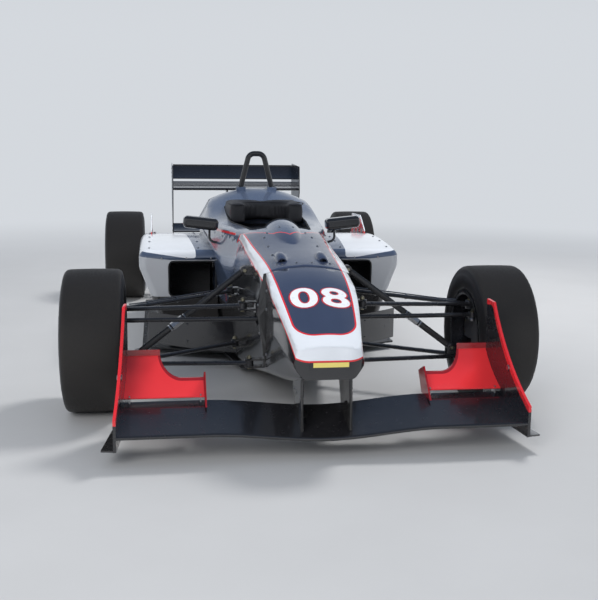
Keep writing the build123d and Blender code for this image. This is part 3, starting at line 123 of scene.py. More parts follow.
def blend(factor, first, second):
    """Colour between two, by a pattern."""
    mix = wire(factor.socket.id_data, "ShaderNodeMix", factor, data_type="RGBA", output=2)
    feed(mix.socket.node.inputs[6], first)
    feed(mix.socket.node.inputs[7], second)
    return mix


camera_data = bpy.data.cameras.new("camera")
camera_data.lens = CAMERA_LENS
camera_data.clip_end = 200
camera = bpy.data.objects.new("camera", camera_data)
scene.collection.objects.link(camera)
scene.camera = camera
ahead = Vector((sin(YAW) * cos(PITCH), cos(YAW) * cos(PITCH), -sin(PITCH)))
level = Vector((cos(YAW), -sin(YAW), 0))
upward = level.cross(ahead)
across = level * cos(ROLL) + upward * sin(ROLL)
upward = upward * cos(ROLL) - level * sin(ROLL)
facing = Matrix((across, upward, -ahead)).transposed().to_4x4()
camera.matrix_world = Matrix.Translation(CAMERA_PLACE) @ facing

floor_mesh = bpy.data.meshes.new("studio_floor")
shape = bmesh.new()
bmesh.ops.create_circle(shape, cap_ends=True, radius=80, segments=64)
shape.to_mesh(floor_mesh)
shape.free()
studio_floor = bpy.data.objects.new("studio_floor", floor_mesh)
scene.collection.objects.link(studio_floor)

floor_paint = bpy.data.materials.new("pale_floor")
floor_paint.use_nodes = True
tree = floor_paint.node_tree
shader = tree.nodes["Principled BSDF"]
shader.inputs["Roughness"].default_value = 0.7
shader.inputs["Specular IOR Level"].default_value = 0.2
place = wire(tree, "ShaderNodeTexCoord", output="Object")
patches = wire(tree, "ShaderNodeTexNoise", place, None, 1.4, 4.0, 0.55, output="Fac")
feed(shader.inputs["Base Color"], blend(patches, (0.47, 0.465, 0.46, 1), (0.54, 0.535, 0.53, 1)))
distance = wire(tree, "ShaderNodeVectorMath", place, operation="LENGTH", output="Value")
fade = ramp(distance, FADE_START, FADE_END, interpolation_type="SMOOTHSTEP")
faded = fade * wire(tree, "ShaderNodeLightPath", output="Is Camera Ray")
haze = wire(tree, "ShaderNodeEmission", HORIZON, 1.0)
feed(tree.nodes["Material Output"].inputs["Surface"],
     wire(tree, "ShaderNodeMixShader", faded, Pattern(shader.outputs[0]), haze))
floor_mesh.materials.append(floor_paint)

world = bpy.data.worlds.new("soft_sky")
scene.world = world
world.use_nodes = True
tree = world.node_tree
sky_light = tree.nodes["Background"]
sky_light.inputs["Color"].default_value = (0.80, 0.88, 1.0, 1)
sky_light.inputs["Strength"].default_value = 0.62
rise = wire(tree, "ShaderNodeSeparateXYZ", wire(tree, "ShaderNodeTexCoord", output="Generated"), output="Z")
sky_colour = blend(ramp(rise, 0.10, 0.70, interpolation_type="SMOOTHSTEP"), HORIZON, HIGH_SKY)
rays = tree.nodes.new("ShaderNodeLightPath")
camera_ray, glossy_ray, clear_ray = (Pattern(rays.outputs[f"Is {kind} Ray"])
                                     for kind in ("Camera", "Glossy", "Transmission"))
shown = calc("MAXIMUM", camera_ray, calc("MAXIMUM", glossy_ray, clear_ray))
feed(tree.nodes["World Output"].inputs["Surface"],
     wire(tree, "ShaderNodeMixShader", shown, Pattern(sky_light.outputs[0]),
          wire(tree, "ShaderNodeBackground", sky_colour, 1.0)))

for name, place, aim, size, power in (
        ("key_softbox", (2.6, 1.2, 5.2), (0, -0.6, 0.3), 1.6, 250),
        ("fill_softbox", (-3.2, -6.5, 3.4), (0, -1.0, 0.4), 3.5, 230),
        ("rear_softbox", (-1.5, 7.5, 4.6), (0, 0.8, 0.4), 6.0, 130)):
    lamp_data = bpy.data.lights.new(name, "AREA")
    lamp_data.shape = "DISK"
    lamp_data.size = size
    lamp_data.energy = power
    lamp = bpy.data.objects.new(name, lamp_data)
    lamp.matrix_world = Matrix.Translation(place) @ (
        Vector(place) - Vector(aim)).to_track_quat("Z", "Y").to_matrix().to_4x4()
    lamp.visible_glossy = False
    scene.collection.objects.link(lamp)

# Survival cell: a moulded carbon shell with the cockpit opening, painted in gloss lacquer.
# Navy panel on top, a white band with red pinstripes round it, grey-blue flanks over black.
FRONT_AXLE = -1.325
REAR_AXLE = 1.375
NAVY = (0.034, 0.046, 0.085, 1)
NAVY_LIGHT = (0.044, 0.058, 0.104, 1)
GREY_BLUE = (0.100, 0.135, 0.200, 1)
WHITE = (0.78, 0.80, 0.83, 1)
WHITE_SHADE = (0.72, 0.74, 0.775, 1)
RED = (0.70, 0.020, 0.026, 1)
YELLOW = (0.80, 0.66, 0.16, 1)
BLACK = (0.012, 0.012, 0.014, 1)
SEAM_BLACK = (0.004, 0.004, 0.005, 1)
ROAD_DUST = (0.20, 0.185, 0.165, 1)
PAINT_GLOSS = (0.20, 0.27)

# The livery's tables give (share of the run from the nose tip, half width or height).
LIVERY_START = FRONT_AXLE - 0.700
LIVERY_RUN = 2.400
PANEL_HALF = ((0.0, 0.090), (0.10, 0.118), (0.167, 0.128), (0.25, 0.136), (0.333, 0.147),
              (0.417, 0.160), (0.50, 0.172), (1.0, 0.210))
BAND_HALF = ((0.0, 0.128), (0.042, 0.1335), (0.083, 0.1445), (0.167, 0.164), (0.25, 0.1735),
             (0.333, 0.1795), (0.417, 0.1860), (0.45, 0.190), (0.54, 0.203), (0.75, 0.225), (1.0, 0.262))
BAND_LOW = ((0.0, 0.345), (0.083, 0.452), (0.167, 0.516), (0.25, 0.552), (0.333, 0.568),
            (0.417, 0.590), (0.50, 0.614), (0.75, 0.640), (1.0, 0.690))
PINSTRIPE = 0.006
PANEL_END = FRONT_AXLE - 0.640
PANEL_CORNER = 0.062
TUB_JOINT = FRONT_AXLE - 0.190
COWL_START = FRONT_AXLE + 0.262
COWL_SLOPE, COWL_LINE, COWL_LINE_LOW = 1.4, 0.009, 0.60
TICK_STATION, TICK_HEIGHT, TICK_HALF = FRONT_AXLE + 0.648, 0.360, (0.006, 0.045)
RIM_START, RIM_HEIGHT, RIM_FALL, RIM_HALF_LINE = FRONT_AXLE + 0.60, 0.634, 0.035, 0.005
RIM_OUT, RIM_SPREAD, RIM_HALF_RUN = 0.196, 0.165, 0.20
LOZENGE_ACROSS, LOZENGE_HEIGHT, LOZENGE_HALF, LOZENGE_RUN = 0.004, 0.330, (0.060, 0.008), 0.06
FLANK_FRONT, FLANK_RISE, FLANK_TOP, FLANK_LOW = FRONT_AXLE + 0.30, 0.55, 0.50, 0.30
HATCH_STATION, HATCH_HALF, HATCH_LOW = FRONT_AXLE + 0.13, (0.118, 0.275), 0.52


def shader_of(material):
    """The inputs of a material's surface shader."""
    return material.node_tree.nodes["Principled BSDF"].inputs


def fed(material, key):
    """The pattern that already feeds one of the shader's inputs."""
    return Pattern(shader_of(material)[key].links[0].from_socket)


def drift_of(material):
    """The fine grain that a material's tint and gloss follow."""
    return Pattern(material.node_tree.nodes["Noise Texture"].outputs["Fac"])


def axes_of(material):
    """The patterns x, y and z of a material's object coordinates."""
    tree = material.node_tree
    parts = wire(tree, "ShaderNodeSeparateXYZ", wire(tree, "ShaderNodeTexCoord", output="Object"))
    return [Pattern(socket) for socket in parts.socket.node.outputs]


def emboss(material, height, strength, depth):
    """Fine relief from a height pattern."""
    relief = wire(material.node_tree, "ShaderNodeBump", strength, depth)
    feed(relief.socket.node.inputs["Height"], height)
    feed(shader_of(material)["Normal"], relief)


def finish(name, dark, light, rough, grain, bump=0.0, metallic=0.0, coat=0.0, stretch=(1, 1, 1)):
    """Surface whose tint, gloss and height drift with a fine grain; rough is (least, most)."""
    material = bpy.data.materials.new(name)
    material.use_nodes = True
    tree = material.node_tree
    shader = shader_of(material)
    shader["Metallic"].default_value = metallic
    shader["Coat Weight"].default_value = coat
    shader["Coat Roughness"].default_value = 0.09
    place = wire(tree, "ShaderNodeTexCoord", output="Object")
    fitted = wire(tree, "ShaderNodeMapping", place, (0, 0, 0), (0, 0, 0), stretch)
    drift = wire(tree, "ShaderNodeTexNoise", fitted, None, grain, 5.0, 0.6, output="Fac")
    feed(shader["Base Color"], blend(drift, (*dark[:3], 1), (*light[:3], 1)))
    feed(shader["Roughness"], ramp(drift, 0.3, 0.7, *rough))
    if bump:
        emboss(material, drift, bump, 0.001)
    return material


def place_piece(name, mesh, materials, body, angle):
    """Shown piece from a mesh: smooth between its sharp edges, riding on a CAD body."""
    mesh.name = name
    mesh.shade_smooth()
    mesh.set_sharp_from_angle(angle=radians(angle))
    mesh.materials.clear()
    for material in materials:
        mesh.materials.append(material)
    piece = bpy.data.objects.new(name, mesh)
    scene.collection.objects.link(piece)
    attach(piece, body)
    return piece


def smooth_copy(node, name, *materials, pick=None):
    """A CAD node's own mesh, merged; pick gives each face its place in the materials."""
    source = frame["nodes"][node]
    mesh = source.data.copy()
    form = bmesh.new()
    form.from_mesh(mesh)
    bmesh.ops.remove_doubles(form, verts=form.verts, dist=1e-5)
    if pick:
        for face in form.faces:
            face.material_index = pick(face)
    form.to_mesh(mesh)
    form.free()
    piece = place_piece(name, mesh, materials, source["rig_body"], 32)
    piece.modifiers.new("even_shading", "WEIGHTED_NORMAL").keep_sharp = True
    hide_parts(node)
    return piece


def skin_of(piece):
    """Surface of a piece, for finding points on it."""
    return BVHTree.FromObject(piece, bpy.context.evaluated_depsgraph_get())


def curve_value(along, table, full):
    """Value read from a table along the car; full is the largest that it can hold."""
    curve = wire(along.socket.id_data, "ShaderNodeFloatCurve", 1.0, along)
    mapping = curve.socket.node.mapping
    points = mapping.curves[0].points
    (first, first_value), *between, (last, last_value) = table
    points[0].location, points[1].location = (first, first_value / full), (last, last_value / full)
    for station, value in between:
        points.new(station, value / full)
    mapping.update()
    return curve * full


def step(value, edge, soft=0.0006):
    """0 below the edge and 1 above it."""
    return ramp(value, edge - soft, edge + soft)


def below(value, edge, soft=0.0006):
    """1 below the edge and 0 above it."""
    return 1.0 - step(value, edge, soft)


def seam(value, edge, half=0.0009):
    """1 on a fine line where the value meets the edge."""
    return below(abs(value - edge), half, 0.0004)


def corner_reach(first, second):
    """Distance past a corner, from the distances past its two edges."""
    squares = [calc("POWER", calc("MAXIMUM", way, 0.0), 2.0) for way in (first, second)]
    return calc("SQRT", squares[0] + squares[1])


def slate(drift):
    """Grey-blue paint that drifts a little."""
    return blend(calc("MULTIPLY_ADD", drift, 0.15, 0.40), NAVY_LIGHT, GREY_BLUE)


def repaint(material, colour, z=None, dust=None):
    """New colour on a material; dust is (low, high, strength), as pale road dust thins out with height."""
    if dust:
        low, high, strength = dust
        colour = blend(ramp(z, low, high, strength, 0.0) * drift_of(material), colour, ROAD_DUST)
    feed(shader_of(material)["Base Color"], colour)


def livery(name):
    """Gloss body paint with the nose panel, the band and the coloured flanks."""
    material = finish(name, NAVY, NAVY_LIGHT, PAINT_GLOSS, 14, coat=0.8)
    x, y, z = axes_of(material)
    out = abs(x)
    drift = drift_of(material)
    along = ramp(y, LIVERY_START, LIVERY_START + LIVERY_RUN)
    side = out - curve_value(along, PANEL_HALF, 0.3) + PANEL_CORNER
    front = (PANEL_END + PANEL_CORNER) - y
    inside = calc("MINIMUM", calc("MAXIMUM", side, front), 0.0)
    panel = corner_reach(side, front) + inside - PANEL_CORNER
    band = calc("MAXIMUM", out - curve_value(along, BAND_HALF, 0.3), curve_value(along, BAND_LOW, 0.8) - z)
    rising = z + (y - FLANK_FRONT) * FLANK_RISE
    blue_part = calc("MINIMUM", step(rising, FLANK_TOP, 0.001), step(z, FLANK_LOW, 0.001))
    flank = blend(blue_part, BLACK, slate(drift))
    colour = blend(step(panel, 0.0), blend(drift, NAVY, NAVY_LIGHT), RED)
    colour = blend(step(panel, PINSTRIPE), colour, blend(drift, WHITE_SHADE, WHITE))
    colour = blend(step(band, 0.0), colour, RED)
    colour = blend(step(band, PINSTRIPE), colour, flank)
    cowl = y - out * COWL_SLOPE
    colour = blend(step(cowl, COWL_START), colour, blend(step(z, COWL_LINE_LOW, 0.001), flank, RED))
    colour = blend(step(cowl, COWL_START + COWL_LINE), colour, flank)
    colour = blend(seam(y, TICK_STATION, TICK_HALF[0]) * seam(z, TICK_HEIGHT, TICK_HALF[1]), colour, RED)
    past_cowl = y - RIM_START
    rim_line = below(abs(past_cowl * RIM_FALL + (z - RIM_HEIGHT)), RIM_HALF_LINE)
    outside = step(out - past_cowl * RIM_SPREAD, RIM_OUT)
    colour = blend(seam(past_cowl, RIM_HALF_RUN, RIM_HALF_RUN) * (outside * rim_line), colour, RED)
    lozenge = calc("MAXIMUM", abs(x - LOZENGE_ACROSS) - LOZENGE_HALF[0],
                   abs(z - LOZENGE_HEIGHT) - LOZENGE_HALF[1])
    colour = blend(below(lozenge, 0.0) * below(y, LIVERY_START + LOZENGE_RUN), colour, YELLOW)
    lid = calc("MAXIMUM", out - HATCH_HALF[0], abs(y - HATCH_STATION) - HATCH_HALF[1])
    lines = calc("MAXIMUM", seam(y, TUB_JOINT), seam(lid, 0.0) * step(z, HATCH_LOW))
    repaint(material, blend(lines, colour, SEAM_BLACK), z, (0.05, 0.34, 0.35))
    emboss(material, 1.0 - lines, 0.6, 0.001)
    return material


body_paint = livery("body_paint")
tub = smooth_copy("tub", "survival_cell", body_paint)

# Fittings on the tub: quarter-turn fasteners round the damper hatch, screws at the seams.
# The cockpit edge is lapped by a moulded rubber bead.
SIDES = (1, -1)
INWARD, UP, DOWN, ALONG = (Vector(way) for way in ((-1, 0, 0), (0, 0, 1), (0, 0, -1), (0, 1, 0)))
BESIDE, ABOVE = (0.9,), (1.2,)
LARGE_HEAD, MIDDLE_HEAD, SMALL_HEAD = 0.0062, 0.0055, 0.0050
BEAD_RADIUS = 0.0048
OPENING_START, OPENING_END, OPENING_HALF, OPENING_LOW = FRONT_AXLE + 0.50, FRONT_AXLE + 1.43, 0.21, 0.6
alloy_fitting = finish("alloy_fitting", (0.34, 0.34, 0.35), (0.50, 0.50, 0.51), (0.25, 0.40), 120, bump=0.05,
                       metallic=1.0)
edge_rubber = finish("edge_rubber", (0.010, 0.010, 0.010), (0.020, 0.020, 0.021), (0.55, 0.75), 150, bump=0.2)


def detail(name, form, material, body, angle=40):
    """Fitting built from a bmesh, riding on a CAD body."""
    bmesh.ops.recalc_face_normals(form, faces=form.faces)
    mesh = bpy.data.meshes.new(name)
    form.to_mesh(mesh)
    form.free()
    return place_piece(name, mesh, [material], body, angle)


def turned(form, profile, place, axis, segments=16):
    """Turned form added to a bmesh; profile is (radius, height) from the bottom up."""
    blank = bmesh.new()
    points = [blank.verts.new((radius, 0, height)) for radius, height in profile]
    lines = [blank.edges.new(ends) for ends in zip(points, points[1:])]
    bmesh.ops.spin(blank, geom=[*points, *lines], cent=(0, 0, 0), axis=(0, 0, 1),
                   angle=2 * pi, steps=segments, use_merge=True)
    bmesh.ops.remove_doubles(blank, verts=blank.verts, dist=1e-6)
    stand = Matrix.Translation(place) @ Vector(axis).to_track_quat("Z", "Y").to_matrix().to_4x4()
    bmesh.ops.transform(blank, matrix=stand, verts=blank.verts)
    made = bpy.data.meshes.new("turned")
    blank.to_mesh(made)
    blank.free()
    form.from_mesh(made)
    bpy.data.meshes.remove(made)


def screws(form, places, radius):
    """Button-head screws with a hexagon socket; places are (point, direction)."""
    profile = ((radius, -0.2), (radius, 0.10), (0.86 * radius, 0.38), (0.6 * radius, 0.5),
               (0.42 * radius, 0.52), (0.40 * radius, 0.16), (0, 0.16))
    for point, direction in places:
        turned(form, [(out, high * radius) for out, high in profile], point, direction, 12)


def spot(side, out, station, height, axle=FRONT_AXLE):
    """Point on one side of the car, its station counted back from an axle."""
    return Vector((side * out, axle + station, height))


def skin_screws(name, skin, rows):
    """Screws where lines from outside meet a skin, on both sides.

    A row is (distances out, stations behind the front axle, heights, direction, head radius).
    """
    form = bmesh.new()
    for outs, stations, heights, (aim_x, aim_y, aim_z), radius in rows:
        for side, *place in product(SIDES, outs, stations, heights):
            aim = Vector((side * aim_x, aim_y, aim_z))
            screws(form, [skin.ray_cast(spot(side, *place), aim)[:2]], radius)
    detail(name, form, alloy_fitting, "chassis")


skin_screws("tub_fasteners", skin_of(tub), (
    ((0.104,), (-0.115, 0.03, 0.175, 0.32), ABOVE, DOWN, LARGE_HEAD),
    (BESIDE, (-0.172,), (0.235, 0.330, 0.440), INWARD, LARGE_HEAD),
    (BESIDE, (0.62, 0.80, 0.98, 1.16, 1.34), (0.605,), INWARD, SMALL_HEAD),
    ((0.03, 0.085), (-0.128, 0.382), ABOVE, DOWN, SMALL_HEAD)))


def on_cockpit_rim(edge):
    """Whether an edge joins the deck to the upright wall of the cockpit opening."""
    if len(edge.link_faces) != 2:
        return False
    middle = (edge.verts[0].co + edge.verts[1].co) / 2
    steep, flat = sorted(abs(face.normal.z) for face in edge.link_faces)
    return (steep < 0.05 and flat > 0.25 and middle.z > OPENING_LOW and abs(middle.x) < OPENING_HALF
            and OPENING_START < middle.y < OPENING_END)


edges = bmesh.new()
edges.from_mesh(tub.data)
form = bmesh.new()
for edge in filter(on_cockpit_rim, edges.edges):
    start, end = (vert.co.copy() for vert in edge.verts)
    run = end - start
    turned(form, [(0, 0), (BEAD_RADIUS, 0), (BEAD_RADIUS, run.length), (0, run.length)], start, run, 8)
    bmesh.ops.create_uvsphere(form, u_segments=8, v_segments=5, radius=BEAD_RADIUS,
                              matrix=Matrix.Translation(end))
edges.free()
detail("cockpit_edge_bead", form, edge_rubber, "chassis")

# Nose cone: the same moulding as the tub, held by pins at the joint and by its two pylons.
# The race number is plain white digits with a red edge, cut from film that follows the crown.
NUMBER_PLACE = (0.006, FRONT_AXLE - 0.502, 1.0)
NUMBER_STRETCH = (1.12, 0.94, 1)
NUMBER_GRAIN = 0.010
nose = smooth_copy("nose_cone", "nose_cone_shell", body_paint)
nose_skin = skin_of(nose)
for name, film_name, dark, light, weight, lift in (
        ("number_edge", "red_film", (0.50, 0.010, 0.016), (0.58, 0.014, 0.020), 0.0088, 0.0005),
        ("number_face", "white_film", (0.80, 0.81, 0.83), (0.84, 0.85, 0.86), 0.0040, 0.0010)):
    text = bpy.data.curves.new(name, "FONT")
    text.body = "08"
    text.size = 0.178
    text.align_x = "CENTER"
    text.space_character = 1.12
    text.offset = weight
    text.resolution_u = 6
    sketch = bpy.data.objects.new(name + "_sketch", text)
    scene.collection.objects.link(sketch)
    mesh = bpy.data.meshes.new_from_object(sketch)
    bpy.data.objects.remove(sketch)
    form = bmesh.new()
    form.from_mesh(mesh)
    bmesh.ops.scale(form, vec=NUMBER_STRETCH, verts=form.verts)
    bmesh.ops.triangulate(form, faces=form.faces)
    for _ in range(4):
        long_edges = [edge for edge in form.edges if edge.calc_length() > NUMBER_GRAIN]
        bmesh.ops.subdivide_edges(form, edges=long_edges, cuts=1)
        bmesh.ops.triangulate(form, faces=form.faces)
    bmesh.ops.translate(form, vec=NUMBER_PLACE, verts=form.verts)
    for vert in form.verts:
        hit, normal = nose_skin.ray_cast(vert.co, DOWN)[:2]
        if hit:
            vert.co = hit + normal * lift
    form.to_mesh(mesh)
    form.free()
    film = finish(film_name, dark, light, (0.25, 0.35), 60, coat=0.3)
    place_piece(name, mesh, [film], "chassis", 60)
skin_screws("nose_fasteners", nose_skin, (
    (BESIDE, (-0.210,), (0.255, 0.430, 0.500), INWARD, LARGE_HEAD),
    (BESIDE, (-0.625, -0.550, -0.495), (0.20,), INWARD, MIDDLE_HEAD)))

# Engine cover: a thin navy moulding over the engine, held by fasteners along its lower edge.
# A white stripe edged in red runs along its flanks and falls towards the tail.
STRIPE_FALL, STRIPE_TOP, STRIPE_EDGE = 0.16, 0.470, 0.462
cover_paint = finish("cover_paint", NAVY, (0.048, 0.062, 0.108), PAINT_GLOSS, 9, coat=0.8)
x, y, z = axes_of(cover_paint)
stripe = z - (1.2 - y) * STRIPE_FALL
colour = blend(below(stripe, STRIPE_TOP), fed(cover_paint, "Base Color"), RED)
colour = blend(below(stripe, STRIPE_EDGE), colour, WHITE)
colour = blend(seam(y, FRONT_AXLE + 1.7015, 0.0015), colour, SEAM_BLACK)
repaint(cover_paint, colour, z, (0.30, 0.60, 0.25))
engine_cover = smooth_copy("engine_cover", "engine_cover_shell", cover_paint)
skin_screws("cover_fasteners", skin_of(engine_cover), (
    *((BESIDE, (station,), (height,), INWARD, LARGE_HEAD) for station, height in (
        (1.74, 0.60), (1.90, 0.585), (2.06, 0.565), (2.22, 0.54), (2.42, 0.475), (2.58, 0.462))),
    (BESIDE, (1.725,), (0.64, 0.70), INWARD, MIDDLE_HEAD)))

# Sidepods: hollow mouldings round the radiators, white on top with a slate leading edge; their white front
# face is painted grey, as painted shade.
# The undercut is black and the intakes are lipped; fasteners run along the seams.
POD_NOSE = FRONT_AXLE + 0.9
PAINTED_SHADE_GREY = (0.40, 0.41, 0.43, 1)
POD_HEAD = 0.0060
WHITE_OUT, WHITE_HEIGHT, WHITE_CORNER = 0.374, 0.486, 0.012
PAINTED_SHADE_HEIGHT, UNDERCUT_HEIGHT = 0.478, 0.297
pod_paint = finish("pod_paint", WHITE_SHADE, WHITE, PAINT_GLOSS, 9, coat=0.7)
x, y, z = axes_of(pod_paint)
out = abs(x)
from_front = y - POD_NOSE
inner = out - from_front * 0.07 - WHITE_OUT
rolled = z - calc("MAXIMUM", out - 0.419, 0.0) * 0.15 - WHITE_HEIGHT
round_edge = corner_reach(WHITE_CORNER - inner, WHITE_CORNER - rolled)
in_front = below(y, POD_NOSE + 0.0385)
white_area = step(inner, 0.0) * calc("MAXIMUM", 1.0 - in_front, below(round_edge, WHITE_CORNER))
colour = blend(white_area, slate(drift_of(pod_paint)), fed(pod_paint, "Base Color"))
# Painted shade: the white front face below this height is painted a mid grey.
painted_shade_top = z - calc("MAXIMUM", out - 0.5, 0.0) * 0.11
colour = blend(in_front * below(painted_shade_top, PAINTED_SHADE_HEIGHT), colour, PAINTED_SHADE_GREY)
colour = blend(step(z - from_front * 0.06, UNDERCUT_HEIGHT, 0.002), BLACK, colour)
colour = blend(seam(y, FRONT_AXLE + 1.36) * step(z, 0.31), colour, (0.01, 0.01, 0.01, 1))
repaint(pod_paint, colour, z, (0.04, 0.36, 0.5))
sidepods = smooth_copy("sidepods", "sidepod_shells", pod_paint)
pod_skin = skin_of(sidepods)
skin_screws("sidepod_fasteners", pod_skin, (
    *((BESIDE, (station,), (0.33 + 0.06 * (station - 0.9),), INWARD, POD_HEAD)
      for station in (1.02, 1.19, 1.34, 1.38, 1.55, 1.72, 1.88)),
    ((0.36, 0.60), (0.97, 1.12, 1.27, 1.45, 1.60), ABOVE, DOWN, POD_HEAD),
    ((0.30, 0.42, 0.54), (0,), (0.486,), ALONG, SMALL_HEAD)))


def tube(form, points, radius, segments=8, rounds=6):
    """Pipe along a smooth line through the points, with closed ends."""
    points = [Vector(point) for point in points]
    line = []
    for before, start, end, after in zip([points[0], *points], points, points[1:], [*points[2:], points[-1]]):
        curl, twist = 2 * before - 5 * start + 4 * end - after, 3 * start - before - 3 * end + after
        for t in (part / rounds for part in range(rounds)):
            line.append(0.5 * (2 * start + (end - before) * t + curl * t * t + twist * t ** 3))
    line.append(points[-1])
    side = (line[1] - line[0]).orthogonal().normalized()
    stand = Matrix()
    ring = bmesh.ops.create_circle(form, cap_ends=True, radius=radius, segments=segments)["verts"]
    rim = list({edge for vert in ring for edge in vert.link_edges})
    for index, point in enumerate(line):
        run = (line[min(index + 1, len(line) - 1)] - line[max(index - 1, 0)]).normalized()
        side = (side - run * side.dot(run)).normalized()
        turn = Matrix.Translation(point) @ Matrix((side, run.cross(side), run)).transposed().to_4x4()
        if index:
            grown = bmesh.ops.extrude_edge_only(form, edges=rim)["geom"]
            ring = [part for part in grown if isinstance(part, bmesh.types.BMVert)]
            rim = [part for part in grown if isinstance(part, bmesh.types.BMEdge) and part.is_boundary]
        bmesh.ops.transform(form, matrix=turn @ stand.inverted(), verts=ring)
        stand = turn
    bmesh.ops.edgeloop_fill(form, edges=rim)


LIP_OUT, LIP_STATION, LIP_HEIGHT = 0.3905, 0.8985, 0.385
LIP_HALF, LIP_RADIUS = (0.1145, 0.085), 0.0042
LIP_BEND = ((0.024, 0), (0.007, 0.007), (0, 0.024))
loop = [(LIP_BEND[0][0] - LIP_HALF[0], -LIP_HALF[1])]
for index, (right, high) in enumerate(((1, -1), (1, 1), (-1, 1), (-1, -1))):
    upright_side = index % 2
    bend = [(right * (LIP_HALF[0] - in_along), high * (LIP_HALF[1] - in_high))
            for in_along, in_high in LIP_BEND]
    loop.append((right * LIP_HALF[0], 0) if upright_side else (0, high * LIP_HALF[1]))
    loop += reversed(bend) if upright_side else bend
form = bmesh.new()
for side in SIDES:
    tube(form, [spot(side, LIP_OUT + across, LIP_STATION, LIP_HEIGHT + rise) for across, rise in loop],
         LIP_RADIUS, rounds=4)
detail("intake_lips", form, edge_rubber, "chassis")

# Sidepod fins: red carbon blades with a white upper part, each on three folded alloy brackets.
# The brackets are screwed down to the sidepod's skin.
FIN_FOOT, FIN_HALF, CLAMP_HEAD = 0.577, 0.0098, 0.0042
red_paint = finish("red_paint", (0.68, 0.022, 0.026), (0.76, 0.030, 0.034), (0.18, 0.26), 12, coat=0.8)
x, y, z = axes_of(red_paint)
fin_edge = calc("MAXIMUM", z - (y - (FRONT_AXLE + 1.44)) * 0.608, z + -0.064)
fin_area = step(y, FRONT_AXLE + 1.40, 0.001) * step(fin_edge, 0.564)
repaint(red_paint, blend(fin_area, fed(red_paint, "Base Color"), WHITE))
smooth_copy("sidepod_fins", "sidepod_fins_painted", red_paint)


def block(form, middle, size):
    """Plain box added to a bmesh."""
    bmesh.ops.create_cube(form, size=1, matrix=Matrix.Translation(middle) @ Matrix.Diagonal((*size, 1)))


form = bmesh.new()
for side, station in product(SIDES, (1.50, 1.60, 1.70)):
    foot = pod_skin.ray_cast(spot(side, FIN_FOOT, station, 1.2), DOWN)[0]
    block(form, foot + Vector((0, 0, 0.0035)), (0.022, 0.040, 0.003))
    block(form, foot + Vector((side * FIN_HALF, 0, 0.014)), (0.0024, 0.040, 0.024))
    screws(form, [(foot + Vector((-side * 0.002, 0, 0.005)), UP)], CLAMP_HEAD)
detail("fin_brackets", form, alloy_fitting, "chassis")

# Front wing: carbon cloth under lacquer, a twill of 3 mm tows that shows at a graze.
# The flaps are painted red, with darker red painted shade above their lip, inboard of the fins and near the
# strip's corner; the endplates have red leading edges and button screws.
TOW = 0.003
RED_PAINTED_SHADE = (0.30, 0.008, 0.012, 1)
FLAP_LIP, FIN_START = 0.2915, 0.4025
STRIP_ACROSS, STRIP_HEIGHT, STRIP_REACH = 0.476, 0.300, 0.086
ENDPLATE_EDGE = ((0.0, 0.165), (0.15, 0.1965), (0.30, 0.233), (0.45, 0.2765), (0.60, 0.329), (0.75, 0.393),
                 (0.85, 0.446), (0.90, 0.476), (1.0, 0.480))
ENDPLATE_RUN, ENDPLATE_OUT, EDGE_WIDTH = 0.353, 0.708, 0.020
PLATE_SCREWS = ((0.045, 0.125), (0.130, 0.140), (0.215, 0.160), (0.250, 0.200), (0.345, 0.270),
                (0.030, 0.070), (0.200, 0.070), (0.345, 0.070))
PLATE_DISC, DISC_THICKNESS = (0.170, 0.262), 0.010
TOE = radians(4.6)


def woven(name, axes, coat, rough):
    """Carbon twill seen through lacquer; axes are the two that the cloth lies along."""
    material = finish(name, BLACK, (0.020, 0.020, 0.023), rough, 30, coat=coat)
    parts = axes_of(material)
    first, second = (calc("FLOOR", parts[axis] * (1 / TOW)) for axis in axes)
    over = calc("LESS_THAN", calc("FLOORED_MODULO", first + second, 4.0), 2.0)
    cloth = blend(over, (0.006, 0.006, 0.008, 1), (0.012, 0.012, 0.015, 1))
    repaint(material, cloth, parts[2], (0.02, 0.16, 0.12))
    emboss(material, over, 0.12, 0.0002)
    return material


gloss_cloth = woven("lacquered_twill", (0, 1), 0.9, (0.24, 0.28))
upright_cloth = woven("lacquered_twill_upright", (1, 2), 0.9, (0.24, 0.28))
matt_cloth = woven("bare_twill", (0, 1), 0.15, (0.42, 0.50))
smooth_copy("front_wing", "front_wing_plane", gloss_cloth)

flap_paint = finish("flap_paint", (0.74, 0.028, 0.032), (0.82, 0.036, 0.040), (0.18, 0.26), 12, coat=0.8)
x, y, z = axes_of(flap_paint)
out = abs(x)
# Painted shade: darker red above the flaps' lip, inboard of the fins and round the strip's corner.
flap_painted_shade = calc("MAXIMUM", step(z, FLAP_LIP), below(out, FIN_START))
flap_painted_shade = calc("MAXIMUM", flap_painted_shade, below(corner_reach(out - STRIP_ACROSS, STRIP_HEIGHT - z), STRIP_REACH))
repaint(flap_paint, blend(flap_painted_shade, fed(flap_paint, "Base Color"), RED_PAINTED_SHADE))
smooth_copy("front_wing_flaps", "front_wing_flaps_painted", flap_paint)

endplate_cloth = woven("endplate_twill", (1, 2), 0.9, (0.22, 0.32))
x, y, z = axes_of(endplate_cloth)
along = ramp(y, LIVERY_START, LIVERY_START + ENDPLATE_RUN)
red_edge = below(curve_value(along, ENDPLATE_EDGE, 0.6) - z, EDGE_WIDTH)
repaint(endplate_cloth, blend(red_edge, fed(endplate_cloth, "Base Color"), RED))
smooth_copy("front_wing_endplates", "front_endplates", endplate_cloth)


def on_endplate(side, run, height):
    """Point on the outside of an endplate, a run back from its front, and the way outwards."""
    outer = Vector((side * (ENDPLATE_OUT - run * sin(TOE)), LIVERY_START + run * cos(TOE), height))
    return outer, Vector((side * cos(TOE), sin(TOE), 0))


